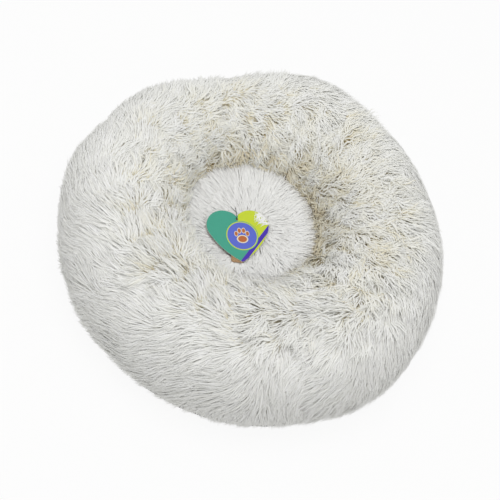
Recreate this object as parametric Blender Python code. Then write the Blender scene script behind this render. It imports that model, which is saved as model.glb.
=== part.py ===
"""Round dog bed: a stuffed ring and a low round cushion in long-pile fur cloth.

The ring is a fur sleeve, open underneath, sewn down on a flat base cloth. It holds a ring of
polyester fibre. Inside it sits a crowned cushion of the same fur. A zip in the base cloth, under
the rear of the ring, closes the opening that the fibre goes in through. A heart-shaped card and
a kraft paper leaf hang from a small loop on the cushion.

Metres, +Z up. The origin is on the floor under the middle of the bed, and -Y is its front.
"""

import math

import bmesh
import bpy
from mathutils import Matrix, Vector

# The whole bed, over the pile as it lies combed
BED_DIAMETER = 0.592
BED_HEIGHT = 0.182
PILE_THICKNESS = 0.014
SEWN_GAP = 0.0003

# The sleeping well between the inner walls of the ring
WELL_DIAMETER = 0.244
WELL_SHIFT_X = -0.017
WELL_SHIFT_Y = 0.006

# The ring's section
BELLY_HEIGHT = 0.076
SECTION_FOOT_ANGLE = math.radians(45)
SECTION_POWER = 2.2
ROUND_STEPS = 54
FILL_STEPS = 8

# Swells of the outer outline: the share of a turn where each is widest, and its share of the radius
SWELL_TURN_REACH_SHARES = (
    (0.000, 0.007),
    (0.125, -0.017),
    (0.250, 0.023),
    (0.375, -0.078),
    (0.500, 0.016),
    (0.625, 0.004),
    (0.750, 0.009),
    (0.875, 0.033),
)
SWELL_SPAN = math.radians(30)

# Swells of the crest, as shares of its height
CREST_TURN_RISE_SHARES = (
    (0.080, 0.030),
    (0.330, -0.045),
    (0.600, 0.025),
    (0.800, -0.020),
)

# Gathers at the inner wall: the share of a turn of each, and its depth as a share of the section
GATHER_TURN_DEPTH_SHARES = (
    (0.045, 0.040),
    (0.140, 0.035),
    (0.250, 0.075),
    (0.430, 0.045),
    (0.510, 0.030),
    (0.583, 0.065),
    (0.680, 0.035),
    (0.763, 0.055),
    (0.860, 0.035),
    (0.945, 0.080),
)
GATHER_SPAN = math.radians(6)
GATHER_TOP_ANGLE = math.radians(60)

# Tufts that the pile lies in over the inner half of the ring, in rows with dips between them
TUFTS_ROUND = 27
TUFT_DIP_DEPTH = 0.0085
TUFT_FIRST_ROW_ANGLE = math.radians(75)
TUFT_ROW_PITCH_ANGLE = math.radians(25)
TUFT_SWAY = 0.9
TUFT_SWAY_WAVES = 4

# The sleeve's outer skin: the degrees of each point of its section, and how much it dips there
SLEEVE_ANGLE_DIP_SHARES = (
    (-45.0, 0.0),
    (-22.5, 0.0),
    (0.0, 0.0),
    (22.5, 0.0),
    (45.0, 0.0),
    (62.5, 0.0),
    (75.0, 0.5),
    (87.5, 0.8),
    (100.0, 1.0),
    (112.5, 1.0),
    (125.0, 1.0),
    (137.5, 1.0),
    (150.0, 1.0),
    (162.5, 0.5),
    (180.0, 0.0),
    (202.5, 0.0),
    (225.0, 0.0),
)

# The sleeve's closing seam, which draws the whole section in
SEAM_TURN_SHARE = 0.352
SEAM_DEPTH_SHARE = 0.055
SEAM_SPAN = math.radians(5)

# The cushion
CUSHION_CROWN_HEIGHT = 0.090
CUSHION_SIDE_HEIGHT = 0.046
CUSHION_TUCK = 0.0012
CUSHION_POWER = 2.4
CUSHION_FOOT_SHARE = 0.86
CUSHION_STEPS = 7
CUSHION_SIDE_STEPS = 2

# The base cloth, cut flush with the ring's foot
BASE_THICKNESS = 0.0014

# The zip, straight along X in the base cloth: its length as a share of the two widths of the
# ring, and its place as a share of the way across the ring's filling, from the inner side
ZIP_LENGTH_SHARE = 0.600
ZIP_PLACE_SHARE = 0.24
ZIP_SLOT_WIDTH = 0.018
ZIP_SLOT_END_ROOM = 0.001
TAPE_MARGIN = 0.006
TAPE_FLAT_WIDTH = 0.0055
TAPE_THICKNESS = 0.0005
TAPE_PARTING = 0.0010
COIL_WIDTH = 0.0024
COIL_HEIGHT = 0.0022
STOP_LENGTH = 0.0025
CHANNEL_CLEARANCE = 0.0010
FLOOR_CLEARANCE = 0.0004

# The slider and its pull
SLIDER_LENGTH = 0.0095
SLIDER_PLATE_WIDTH = 0.0086
SLIDER_PLATE = 0.0010
SLIDER_NECK_WIDTH = 0.0006
SLIDER_FLANGE_HEIGHT = 0.0008
SLIDER_FLANGE_WIDTH = 0.0008
LUG_WIDTH = 0.0012
LUG_LENGTH = 0.0026
LUG_RIM = 0.0003
LUG_REACH = 0.00085
PIN_HOLE_RADIUS = 0.00045
PIN_CLEARANCE = 0.0001
PULL_THICKNESS = 0.0010
PULL_WIDTH = 0.0064
PULL_LENGTH = 0.0240
PULL_EYE_SETBACK = 0.0006
PULL_FORK_DEPTH = 0.0030
PULL_FORK_CLEARANCE = 0.0002
PULL_WINDOW_WIDTH = 0.0030
PULL_WINDOW_LENGTH = 0.0100
PULL_WINDOW_END = 0.0040
PIN_SIDES = 16

# The hang tag: a heart-shaped card over a kraft leaf, both on one loop
HOLE_X = -0.0357
HOLE_Y = -0.0020
TAG_HEADING = math.radians(-58.7)
LOOP_REACH = 0.0195
LOOP_RISE = 0.0030
LOOP_WIRE_RADIUS = 0.00045
LOOP_STEPS = 20
LOOP_SIDES = 8
HEART_WIDTH = 0.0955
HEART_HEIGHT = 0.0860
HEART_LOBE_SHARE = 0.2775
HEART_FLANK_RADIUS = 0.1200
HEART_TIP_RADIUS = 0.0035
HEART_LOBE_STEPS = 16
HEART_FLANK_STEPS = 6
HEART_TIP_STEPS = 4
CARD_THICKNESS = 0.0006
TAG_HOLE_RADIUS = 0.0019
TAG_HOLE_MARGIN = 0.0045
TAG_HOLE_STEPS = 16
LEAF_WIDTH = 0.0180
LEAF_LENGTH = 0.0765
LEAF_CORNER_RADIUS = 0.0030
LEAF_CORNER_STEPS = 4
LEAF_SPLAY = math.radians(-6.5)

# One overrun for every cut
CUT_OVERRUN = 0.002

# Heights that follow from the sizes above
FOOT_HEIGHT = BASE_THICKNESS + SEWN_GAP
PIN_HEIGHT = FLOOR_CLEARANCE + LUG_RIM + PIN_HOLE_RADIUS
LOWER_PLATE_BOTTOM = PIN_HEIGHT + LUG_REACH
COIL_BOTTOM = LOWER_PLATE_BOTTOM + SLIDER_PLATE + SEWN_GAP
COIL_TOP = COIL_BOTTOM + COIL_HEIGHT
TAPE_BOTTOM = COIL_TOP + SEWN_GAP
TAPE_TOP = TAPE_BOTTOM + TAPE_THICKNESS
UPPER_PLATE_BOTTOM = TAPE_TOP + SEWN_GAP
UPPER_PLATE_TOP = UPPER_PLATE_BOTTOM + SLIDER_PLATE
CHANNEL_TOP = UPPER_PLATE_TOP + CHANNEL_CLEARANCE
LEAF_BOTTOM = CUSHION_CROWN_HEIGHT + SEWN_GAP
CARD_BOTTOM = LEAF_BOTTOM + CARD_THICKNESS + SEWN_GAP
LOOP_HEIGHT = (LEAF_BOTTOM + CARD_BOTTOM + CARD_THICKNESS) / 2

FULL_TURN = 2 * math.pi


def remove_everything():
    """Empty the scene."""
    for old in list(bpy.data.objects):
        bpy.data.objects.remove(old, do_unlink=True)


def finish(name, colour, roughness, metallic=0.0):
    """A plain Principled material."""
    material = bpy.data.materials.new(name)
    material.use_nodes = True
    shader = material.node_tree.nodes["Principled BSDF"]
    shader.inputs["Base Color"].default_value = (*colour, 1.0)
    shader.inputs["Roughness"].default_value = roughness
    shader.inputs["Metallic"].default_value = metallic
    return material


def add_object(name, points, faces, material, smooth=True):
    """An object from points and faces, with its normals outwards."""
    mesh = bpy.data.meshes.new(name)
    mesh.from_pydata([tuple(p) for p in points], [], faces)
    work = bmesh.new()
    work.from_mesh(mesh)
    bmesh.ops.recalc_face_normals(work, faces=work.faces)
    work.to_mesh(mesh)
    work.free()
    mesh.materials.append(material)
    if smooth:
        mesh.shade_smooth()
        mesh.set_sharp_from_angle(angle=SECTION_FOOT_ANGLE)
    item = bpy.data.objects.new(name, mesh)
    bpy.context.scene.collection.objects.link(item)
    return item


def around(turn, at, span):
    """How near a turn angle is to another, from 1 there down to 0."""
    apart = (turn - at + math.pi) % FULL_TURN - math.pi
    return math.exp(-((apart / span) ** 2))


def swell(turn, table, span):
    """The sum of a table's swells at a turn angle."""
    return sum(share * around(turn, where * FULL_TURN, span) for where, share in table)


def well_reach(turn):
    """Distance from the bed's middle to the well's round outline."""
    along = WELL_SHIFT_X * math.cos(turn) + WELL_SHIFT_Y * math.sin(turn)
    aside = WELL_SHIFT_X**2 + WELL_SHIFT_Y**2 - along**2
    return along + math.sqrt((WELL_DIAMETER / 2) ** 2 - aside)


def drawn_in(turn, angle):
    """Share by which the gathers and the closing seam pull the section towards its core."""
    last = math.pi + SECTION_FOOT_ANGLE
    share = (angle - GATHER_TOP_ANGLE) / (last - GATHER_TOP_ANGLE)
    gather = math.sin(math.pi * min(max(share, 0.0), 1.0)) if share > 0 else 0.0
    run = (angle + SECTION_FOOT_ANGLE) / (last + SECTION_FOOT_ANGLE)
    seam = math.sqrt(max(math.sin(math.pi * run), 0.0))
    return gather * swell(turn, GATHER_TURN_DEPTH_SHARES, GATHER_SPAN) + (
        seam * SEAM_DEPTH_SHARE * around(turn, SEAM_TURN_SHARE * FULL_TURN, SEAM_SPAN)
    )


def even_angles(steps):
    """Section angles in even steps, from the outer foot over the crest to the inner foot."""
    whole = math.pi + 2 * SECTION_FOOT_ANGLE
    return [-SECTION_FOOT_ANGLE + whole * step / steps for step in range(steps + 1)]


def section_points(turn, inset, angles):
    """Points of one skin of the ring at a turn angle, one for each section angle."""
    swelling = swell(turn, SWELL_TURN_REACH_SHARES, SWELL_SPAN)
    outer = BED_DIAMETER / 2 * (1 + swelling)
    inner = well_reach(turn)
    middle = (outer + inner) / 2
    half_width = (outer - inner) / 2 - inset
    rise = swell(turn, CREST_TURN_RISE_SHARES, SWELL_SPAN)
    half_height = BED_HEIGHT * (1 + rise) - BELLY_HEIGHT - inset
    points = []
    for angle in angles:
        pull = 1 - drawn_in(turn, angle)
        flat, up = math.cos(angle), math.sin(angle)
        across = half_width * math.copysign(abs(flat) ** (2 / SECTION_POWER), flat) * pull
        if up >= 0:
            height = BELLY_HEIGHT + half_height * up ** (2 / SECTION_POWER) * pull
        else:
            drop = up / math.sin(SECTION_FOOT_ANGLE)
            height = BELLY_HEIGHT + (BELLY_HEIGHT - FOOT_HEIGHT) * drop
        reach = middle + across
        points.append(Vector((reach * math.cos(turn), reach * math.sin(turn), height)))
    return points


def band(faces, lower, upper, mirrored=False):
    """Triangles between two closed rings of point numbers."""
    count = len(lower)
    for step in range(count):
        after = (step + 1) % count
        if mirrored:
            faces.append((lower[step], lower[after], upper[step]))
            faces.append((lower[after], upper[after], upper[step]))
        else:
            faces.append((lower[step], lower[after], upper[after]))
            faces.append((lower[step], upper[after], upper[step]))


def skin_rings(points, columns):
    """Add the columns of a skin to the points, and give back their rings of point numbers."""
    start = len(points)
    height = len(columns[0])
    for column in columns:
        points.extend(column)
    return [
        [start + turn * height + level for turn in range(len(columns))]
        for level in range(height)
    ]


def turns():
    """The turn angles of the round pieces' columns."""
    return [FULL_TURN * step / ROUND_STEPS for step in range(ROUND_STEPS)]


def tuft_dip(turn, angle):
    """How far the pile's surface dips below its tufts, whose rows stand half a tuft apart."""
    sway = TUFT_SWAY * math.sin(TUFT_SWAY_WAVES * turn + angle)
    along = math.cos(TUFTS_ROUND * turn + sway)
    over = math.cos(math.pi * (angle - TUFT_FIRST_ROW_ANGLE) / TUFT_ROW_PITCH_ANGLE)
    return TUFT_DIP_DEPTH * (1 - along * over) / 2


def tufted_columns():
    """The sleeve's outer skin, with one column more between each two of the ring's columns."""
    angles = [math.radians(degrees) for degrees, share in SLEEVE_ANGLE_DIP_SHARES]
    shares = [share for degrees, share in SLEEVE_ANGLE_DIP_SHARES]
    smooth = []
    ring = [section_points(turn, 0.0, angles) for turn in turns()]
    for column, following in zip(ring, ring[1:] + ring[:1]):
        smooth.append(column)
        smooth.append([(here + there) / 2 for here, there in zip(column, following)])
    columns = []
    for number, column in enumerate(smooth):
        turn = FULL_TURN * number / len(smooth)
        columns.append([
            point - share * tuft_dip(turn, angle) * Vector((
                math.cos(angle) * math.cos(turn),
                math.cos(angle) * math.sin(turn),
                math.sin(angle),
            ))
            for point, angle, share in zip(column, angles, shares)
        ])
    return columns


def close_foot(faces, fine, coarse, mirrored=False):
    """Triangles between a ring of point numbers and one with half as many."""
    for step in range(len(coarse)):
        here, after = coarse[step], coarse[(step + 1) % len(coarse)]
        start, middle, end = (fine[(2 * step + part) % len(fine)] for part in range(3))
        for face in ((start, middle, here), (middle, end, after), (middle, after, here)):
            faces.append(face[::-1] if mirrored else face)


def ring_shell(name, thickness, material):
    """The ring's sleeve: an arched skin with a wall, open underneath."""
    points, faces = [], []
    outside = skin_rings(points, tufted_columns())
    inside = skin_rings(
        points, [section_points(turn, thickness, even_angles(FILL_STEPS)) for turn in turns()]
    )
    for lower, upper in zip(outside, outside[1:]):
        band(faces, lower, upper)
    for lower, upper in zip(inside, inside[1:]):
        band(faces, upper, lower, mirrored=True)
    close_foot(faces, outside[-1], inside[-1])
    close_foot(faces, outside[0], inside[0], mirrored=True)
    return add_object(name, points, faces, material)


def ring_solid(name, inset, material):
    """The ring's filling: the space inside the sleeve, with a flat underside."""
    points, faces = [], []
    skin = skin_rings(
        points, [section_points(turn, inset, even_angles(FILL_STEPS)) for turn in turns()]
    )
    for lower, upper in zip(skin, skin[1:]):
        band(faces, lower, upper)
    band(faces, skin[-1], skin[0])
    return add_object(name, points, faces, material)


def cushion_height(distance):
    """Height of the cushion's fur above the floor, at a distance from the cushion's middle."""
    radius = WELL_DIAMETER / 2 + CUSHION_TUCK
    level = (1 - (distance / radius) ** CUSHION_POWER) ** (1 / CUSHION_POWER)
    return CUSHION_SIDE_HEIGHT + (CUSHION_CROWN_HEIGHT - CUSHION_SIDE_HEIGHT) * level


def cushion_profile(inset):
    """The cushion's half section, as distances and heights from its foot to its crown."""
    widest = WELL_DIAMETER / 2 + CUSHION_TUCK
    radius = widest - inset
    rise = CUSHION_CROWN_HEIGHT - CUSHION_SIDE_HEIGHT - inset
    profile = []
    for step in range(CUSHION_SIDE_STEPS):
        bow = step / CUSHION_SIDE_STEPS
        foot = CUSHION_FOOT_SHARE + (1 - CUSHION_FOOT_SHARE) * math.sin(bow * math.pi / 2)
        level = FOOT_HEIGHT + (CUSHION_SIDE_HEIGHT - FOOT_HEIGHT) * bow
        profile.append((radius * foot, level))
    for step in range(CUSHION_STEPS):
        angle = math.pi / 2 * step / CUSHION_STEPS
        out = math.cos(angle) ** (2 / CUSHION_POWER)
        up = math.sin(angle) ** (2 / CUSHION_POWER)
        profile.append((radius * out, CUSHION_SIDE_HEIGHT + rise * up))
    return profile, CUSHION_SIDE_HEIGHT + rise


def cushion_skin(points, inset):
    """Add a round skin of the cushion, and give back its rings and its crown point's number."""
    profile, crown = cushion_profile(inset)
    columns = [
        [
            Vector((
                WELL_SHIFT_X + out * math.cos(turn),
                WELL_SHIFT_Y + out * math.sin(turn),
                level,
            ))
            for out, level in profile
        ]
        for turn in turns()
    ]
    rings = skin_rings(points, columns)
    points.append(Vector((WELL_SHIFT_X, WELL_SHIFT_Y, crown)))
    return rings, len(points) - 1


def close_top(faces, ring, crown):
    """A fan of triangles from a ring to one point."""
    for step in range(len(ring)):
        faces.append((ring[step], ring[(step + 1) % len(ring)], crown))


def cushion_shell(name, thickness, material):
    """The cushion's fur cover, open underneath."""
    points, faces = [], []
    outside, crown = cushion_skin(points, 0.0)
    inside, ceiling = cushion_skin(points, thickness)
    for lower, upper in zip(outside, outside[1:]):
        band(faces, lower, upper)
    for lower, upper in zip(inside, inside[1:]):
        band(faces, upper, lower, mirrored=True)
    close_top(faces, outside[-1], crown)
    close_top(faces, inside[-1][::-1], ceiling)
    band(faces, inside[0], outside[0])
    return add_object(name, points, faces, material)


def cushion_solid(name, inset, material):
    """The cushion's filling, with a flat underside."""
    points, faces = [], []
    skin, crown = cushion_skin(points, inset)
    for lower, upper in zip(skin, skin[1:]):
        band(faces, lower, upper)
    close_top(faces, skin[-1], crown)
    faces.append(tuple(reversed(skin[0])))
    return add_object(name, points, faces, material)


def plate(name, outlines, bottom, thickness, material):
    """A flat plate from closed outlines in the XY plane: the first its edge, the others holes."""
    curve = bpy.data.curves.new(name, "CURVE")
    curve.dimensions = "2D"
    curve.fill_mode = "BOTH"
    curve.extrude = thickness / 2
    for outline in outlines:
        spline = curve.splines.new("POLY")
        spline.points.add(len(outline) - 1)
        spline.use_cyclic_u = True
        for point, (x, y) in zip(spline.points, outline):
            point.co = (x, y, 0.0, 1.0)
    guide = bpy.data.objects.new(name, curve)
    mesh = bpy.data.meshes.new_from_object(guide)
    bpy.data.objects.remove(guide, do_unlink=True)
    mesh.transform(Matrix.Translation((0.0, 0.0, bottom + thickness / 2)))
    work = bmesh.new()
    work.from_mesh(mesh)
    bmesh.ops.remove_doubles(work, verts=work.verts, dist=SEWN_GAP / ROUND_STEPS)
    bmesh.ops.recalc_face_normals(work, faces=work.faces)
    work.to_mesh(mesh)
    work.free()
    mesh.materials.clear()
    mesh.materials.append(material)
    item = bpy.data.objects.new(name, mesh)
    bpy.context.scene.collection.objects.link(item)
    return item


def bar(name, profile, length, material):
    """A straight bar along X, centred on it, with a closed profile of (y, z) points."""
    count = len(profile)
    points = [Vector((end * length / 2, y, z)) for end in (-1, 1) for y, z in profile]
    faces = [tuple(range(count)), tuple(range(2 * count - 1, count - 1, -1))]
    for step in range(count):
        after = (step + 1) % count
        faces.append((step, step + count, after + count, after))
    return add_object(name, points, faces, material, smooth=False)


def rectangle(low_y, low_z, high_y, high_z):
    """The corners of a rectangle, as (y, z) points."""
    return [(low_y, low_z), (high_y, low_z), (high_y, high_z), (low_y, high_z)]


def arc(centre, radius, start, end, steps):
    """Points along an arc, with both of its ends."""
    return [
        (
            centre[0] + radius * math.cos(start + (end - start) * step / steps),
            centre[1] + radius * math.sin(start + (end - start) * step / steps),
        )
        for step in range(steps + 1)
    ]


def circle(centre, radius, steps):
    """Points round a circle."""
    return arc(centre, radius, 0.0, FULL_TURN, steps)[:-1]


def as_guide(item):
    """Mark an object as a cutter or an added solid that isn't a piece itself."""
    item.hide_render = True
    item.display_type = "WIRE"
    return item


def combine(item, other, operation):
    """Join another solid to an object, or cut it away."""
    modifier = item.modifiers.new(other.name, "BOOLEAN")
    modifier.operation = operation
    modifier.object = as_guide(other)


def pin_along_y(name, radius, length, place, material):
    """A round pin along Y, for the pull's hinge."""
    points, faces = [], []
    ends = []
    for end in (-1, 1):
        start = len(points)
        for across, up in circle((0.0, 0.0), radius, PIN_SIDES):
            points.append(Vector((place[0] + across, place[1] + end * length / 2, place[2] + up)))
        ends.append(list(range(start, start + PIN_SIDES)))
    faces.append(tuple(ends[0]))
    faces.append(tuple(reversed(ends[1])))
    band(faces, ends[0], ends[1])
    return add_object(name, points, faces, material)


def zip_length():
    """Length of the zip over its two end stops."""
    return ZIP_LENGTH_SHARE * (BED_DIAMETER - WELL_DIAMETER)


def slot_length():
    """Length of the slot, with room for the pull past the teeth at either end."""
    pull_room = PULL_LENGTH - PULL_EYE_SETBACK - SLIDER_LENGTH / 2 - STOP_LENGTH
    return zip_length() + 2 * (pull_room + ZIP_SLOT_END_ROOM)


def tape_length():
    """Length of the two tapes, which reach past the slot."""
    return slot_length() + 2 * TAPE_MARGIN


def zip_y():
    """Distance of the zip behind the bed's middle."""
    rear = section_points(math.pi / 2, PILE_THICKNESS + SEWN_GAP, even_angles(FILL_STEPS))
    return rear[-1].y + ZIP_PLACE_SHARE * (rear[0].y - rear[-1].y)


def base_outline():
    """The base cloth's edge, flush with the outer foot of the ring."""
    return [section_points(turn, 0.0, [-SECTION_FOOT_ANGLE])[0].xy[:] for turn in turns()]


def zip_slot():
    """The slot in the base cloth that the zip closes."""
    half = slot_length() / 2
    return [(x, zip_y() + y) for x, y in rectangle(
        -half, -ZIP_SLOT_WIDTH / 2, half, ZIP_SLOT_WIDTH / 2
    )]


def base_cloth(material):
    """The woven base, with its slot for the zip."""
    return plate("base_cloth", [base_outline(), zip_slot()], 0.0, BASE_THICKNESS, material)


def zip_tape(name, side, material):
    """One tape of the zip, sewn on the base cloth and rising to the coil it carries."""
    edge = ZIP_SLOT_WIDTH / 2
    under = [
        (edge + TAPE_MARGIN, FOOT_HEIGHT),
        (edge, FOOT_HEIGHT),
        (TAPE_FLAT_WIDTH, TAPE_BOTTOM),
        (TAPE_PARTING / 2, TAPE_BOTTOM),
    ]
    over = [(y, z + TAPE_THICKNESS) for y, z in reversed(under)]
    tape = bar(name, [(side * y, z) for y, z in under + over], tape_length(), material)
    tape.location.y = zip_y()
    return tape


def coil_length():
    """Length of the coils between the two end stops."""
    return zip_length() - 2 * (STOP_LENGTH + SEWN_GAP)


def zip_coil(name, side, material):
    """One row of the zip's teeth, under its tape's inner edge."""
    inner = TAPE_PARTING / 2 + PIN_CLEARANCE
    profile = rectangle(side * inner, COIL_BOTTOM, side * (inner + COIL_WIDTH), COIL_TOP)
    coil = bar(name, profile, coil_length(), material)
    coil.location.y = zip_y()
    return coil


def zip_stop(name, end, material):
    """The stop at one end of the teeth."""
    half = TAPE_PARTING / 2 + PIN_CLEARANCE + COIL_WIDTH
    stop = bar(name, rectangle(-half, COIL_BOTTOM, half, COIL_TOP), STOP_LENGTH, material)
    stop.location = (end * (zip_length() - STOP_LENGTH) / 2, zip_y(), 0.0)
    return stop


def zip_channel():
    """The channel in the ring's filling that the zip rises into."""
    half = ZIP_SLOT_WIDTH / 2 + TAPE_MARGIN + CHANNEL_CLEARANCE
    profile = rectangle(-half, FOOT_HEIGHT - CUT_OVERRUN, half, CHANNEL_TOP)
    channel = bar("zip_channel", profile, tape_length() + 2 * CHANNEL_CLEARANCE, None)
    channel.location.y = zip_y()
    return channel


def slider_start():
    """Where the slider's middle is with the zip closed."""
    return -(coil_length() - SLIDER_LENGTH) / 2


def zip_slider(material):
    """The slider: two plates joined by a neck, with a lug under it for the pull."""
    half = SLIDER_PLATE_WIDTH / 2
    neck = SLIDER_NECK_WIDTH / 2
    plate_top = LOWER_PLATE_BOTTOM + SLIDER_PLATE
    flange_top = plate_top + SLIDER_FLANGE_HEIGHT
    right = [
        (half, LOWER_PLATE_BOTTOM),
        (half, flange_top),
        (half - SLIDER_FLANGE_WIDTH, flange_top),
        (half - SLIDER_FLANGE_WIDTH, plate_top),
        (neck, plate_top),
        (neck, UPPER_PLATE_BOTTOM),
        (half, UPPER_PLATE_BOTTOM),
        (half, UPPER_PLATE_TOP),
    ]
    left = [(-y, z) for y, z in reversed(right)]
    slider = bar("zip_slider", right + left, SLIDER_LENGTH, material)
    slider.location = (slider_start(), zip_y(), 0.0)
    lug_profile = rectangle(
        -LUG_WIDTH / 2, FLOOR_CLEARANCE, LUG_WIDTH / 2, LOWER_PLATE_BOTTOM + SLIDER_PLATE / 2
    )
    lug = bar("slider_lug", lug_profile, LUG_LENGTH, material)
    lug.location = slider.location
    combine(slider, lug, "UNION")
    hole = pin_along_y(
        "slider_pin_hole",
        PIN_HOLE_RADIUS,
        LUG_WIDTH + 2 * CUT_OVERRUN,
        (slider_start(), zip_y(), PIN_HEIGHT),
        material,
    )
    combine(slider, hole, "DIFFERENCE")
    return slider


def zip_pull(material):
    """The pull: a flat tab whose fork holds a pin in the slider's lug."""
    half = PULL_WIDTH / 2
    slot = LUG_WIDTH / 2 + PULL_FORK_CLEARANCE
    near = -PULL_EYE_SETBACK
    far = near + PULL_LENGTH
    edge = [
        (near, -slot),
        (near, -half),
        *arc((far - half, 0.0), half, -math.pi / 2, math.pi / 2, PIN_SIDES // 2),
        (near, half),
        (near, slot),
        (near + PULL_FORK_DEPTH, slot),
        (near + PULL_FORK_DEPTH, -slot),
    ]
    window_end = far - PULL_WINDOW_END
    window = rectangle(
        window_end - PULL_WINDOW_LENGTH,
        -PULL_WINDOW_WIDTH / 2,
        window_end,
        PULL_WINDOW_WIDTH / 2,
    )
    pull = plate("zip_pull", [edge, window], -PULL_THICKNESS / 2, PULL_THICKNESS, material)
    pull.location = (slider_start(), zip_y(), PIN_HEIGHT)
    pin = pin_along_y(
        "pull_pin",
        PIN_HOLE_RADIUS - PIN_CLEARANCE,
        slot + half,
        (slider_start(), zip_y(), PIN_HEIGHT),
        material,
    )
    combine(pull, pin, "UNION")
    return pull


def heart_outline():
    """A heart about its middle line, from the middle of its hole: (along, across) points."""
    radius = HEART_WIDTH * HEART_LOBE_SHARE
    side = HEART_WIDTH / 2 - radius
    cleft_rise = math.sqrt(radius**2 - side**2)
    lobe = Vector((cleft_rise - TAG_HOLE_MARGIN, side))
    tip = Vector((lobe.x - radius + HEART_HEIGHT - HEART_TIP_RADIUS, 0.0))
    # The flank is an arc that touches the lobe and the tip from outside
    to_lobe = HEART_FLANK_RADIUS - radius
    to_tip = HEART_FLANK_RADIUS - HEART_TIP_RADIUS
    apart = (tip - lobe).length
    line = (tip - lobe) / apart
    along = (apart**2 + to_lobe**2 - to_tip**2) / (2 * apart)
    aside = math.sqrt(to_lobe**2 - along**2)
    flank = lobe + line * along + Vector((line.y, -line.x)) * aside
    start = math.atan2(lobe.y - flank.y, lobe.x - flank.x)
    end = math.atan2(tip.y - flank.y, tip.x - flank.x)
    cleft = math.atan2(-side, -cleft_rise) + FULL_TURN
    right = arc(lobe, radius, cleft, start, HEART_LOBE_STEPS)
    right += arc(flank, HEART_FLANK_RADIUS, start, end, HEART_FLANK_STEPS)[1:-1]
    point = arc(tip, HEART_TIP_RADIUS, end, -end, HEART_TIP_STEPS)
    left = [(along, -across) for along, across in reversed(right)]
    return right + point + left[:-1]


def leaf_outline():
    """The kraft leaf's edge, from the middle of its hole."""
    near = -TAG_HOLE_MARGIN + LEAF_CORNER_RADIUS
    far = LEAF_LENGTH - TAG_HOLE_MARGIN - LEAF_CORNER_RADIUS
    side = LEAF_WIDTH / 2 - LEAF_CORNER_RADIUS
    corners = ((far, side), (near, side), (near, -side), (far, -side))
    edge = []
    for number, corner in enumerate(corners):
        start = number * math.pi / 2
        edge += arc(corner, LEAF_CORNER_RADIUS, start, start + math.pi / 2, LEAF_CORNER_STEPS)
    return edge


def tag_anchor():
    """Where the loop comes out of the cushion, at the middle of the cards' height."""
    heading = Vector((math.cos(TAG_HEADING), math.sin(TAG_HEADING), 0.0))
    return Vector((HOLE_X, HOLE_Y, LOOP_HEIGHT)) - heading * LOOP_REACH, heading


def tag_plate(name, outline, bottom, turn, material):
    """A card on the loop: its origin is the loop's anchor, which it lifts about."""
    hole = circle((0.0, 0.0), TAG_HOLE_RADIUS, TAG_HOLE_STEPS)
    turned = [
        [
            (
                LOOP_REACH + along * math.cos(turn) - across * math.sin(turn),
                along * math.sin(turn) + across * math.cos(turn),
            )
            for along, across in loop
        ]
        for loop in (outline, hole)
    ]
    card = plate(name, turned, bottom - LOOP_HEIGHT, CARD_THICKNESS, material)
    card.location = tag_anchor()[0]
    card.rotation_euler.z = TAG_HEADING
    return card


def tag_loop(material):
    """The loop: a low arch of thin cord from its anchor in the cushion through the cards' holes."""
    anchor, heading = tag_anchor()
    half_reach = LOOP_REACH / 2
    middle = anchor + heading * half_reach
    drops = []
    for end in (1, -1):
        foot = middle + heading * half_reach * end
        distance = math.hypot(foot.x - WELL_SHIFT_X, foot.y - WELL_SHIFT_Y)
        drop = LOOP_HEIGHT - cushion_height(distance) - SEWN_GAP - LOOP_WIRE_RADIUS
        drops.append(math.asin(drop / LOOP_RISE))
    first, last = -drops[0], math.pi + drops[1]
    points, rings = [], []
    side = Vector((-heading.y, heading.x, 0.0))
    for step in range(LOOP_STEPS + 1):
        angle = first + (last - first) * step / LOOP_STEPS
        centre = middle + heading * half_reach * math.cos(angle)
        centre.z += LOOP_RISE * math.sin(angle)
        out = heading * LOOP_RISE * math.cos(angle)
        out.z = half_reach * math.sin(angle)
        out.normalize()
        start = len(points)
        for across, up in circle((0.0, 0.0), LOOP_WIRE_RADIUS, LOOP_SIDES):
            points.append(centre + out * up + side * across)
        rings.append(list(range(start, start + LOOP_SIDES)))
    faces = [tuple(rings[0]), tuple(reversed(rings[-1]))]
    for lower, upper in zip(rings, rings[1:]):
        band(faces, lower, upper)
    return add_object("tag_loop", points, faces, material)


def build_bed():
    """The ring, the cushion and the base they're sewn to."""
    fur = finish("long_pile_fur_cloth", (0.78, 0.77, 0.74), 0.9)
    fibre = finish("polyester_fibre", (0.86, 0.86, 0.85), 0.95)
    woven = finish("woven_polyester_base", (0.30, 0.30, 0.31), 0.85)
    ring_shell("bolster_cover", PILE_THICKNESS, fur)
    filling = ring_solid("bolster_filling", PILE_THICKNESS + SEWN_GAP, fibre)
    combine(filling, zip_channel(), "DIFFERENCE")
    cushion_shell("cushion_cover", PILE_THICKNESS, fur)
    cushion_solid("cushion_filling", PILE_THICKNESS + SEWN_GAP, fibre)
    base_cloth(woven)


def build_zip():
    """The zip in the base cloth, with its slider at the closed end."""
    tape = finish("polyester_tape", (0.72, 0.71, 0.68), 0.8)
    nylon = finish("nylon_coil", (0.76, 0.75, 0.72), 0.45)
    nickel = finish("nickelled_zinc", (0.66, 0.66, 0.64), 0.3, 1.0)
    for word, side in (("front", -1), ("rear", 1)):
        zip_tape(f"zip_tape_{word}", side, tape)
        zip_coil(f"zip_coil_{word}", side, nylon)
    for word, end in (("left", -1), ("right", 1)):
        zip_stop(f"zip_stop_{word}", end, nickel)
    zip_slider(nickel)
    zip_pull(nickel)


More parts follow.
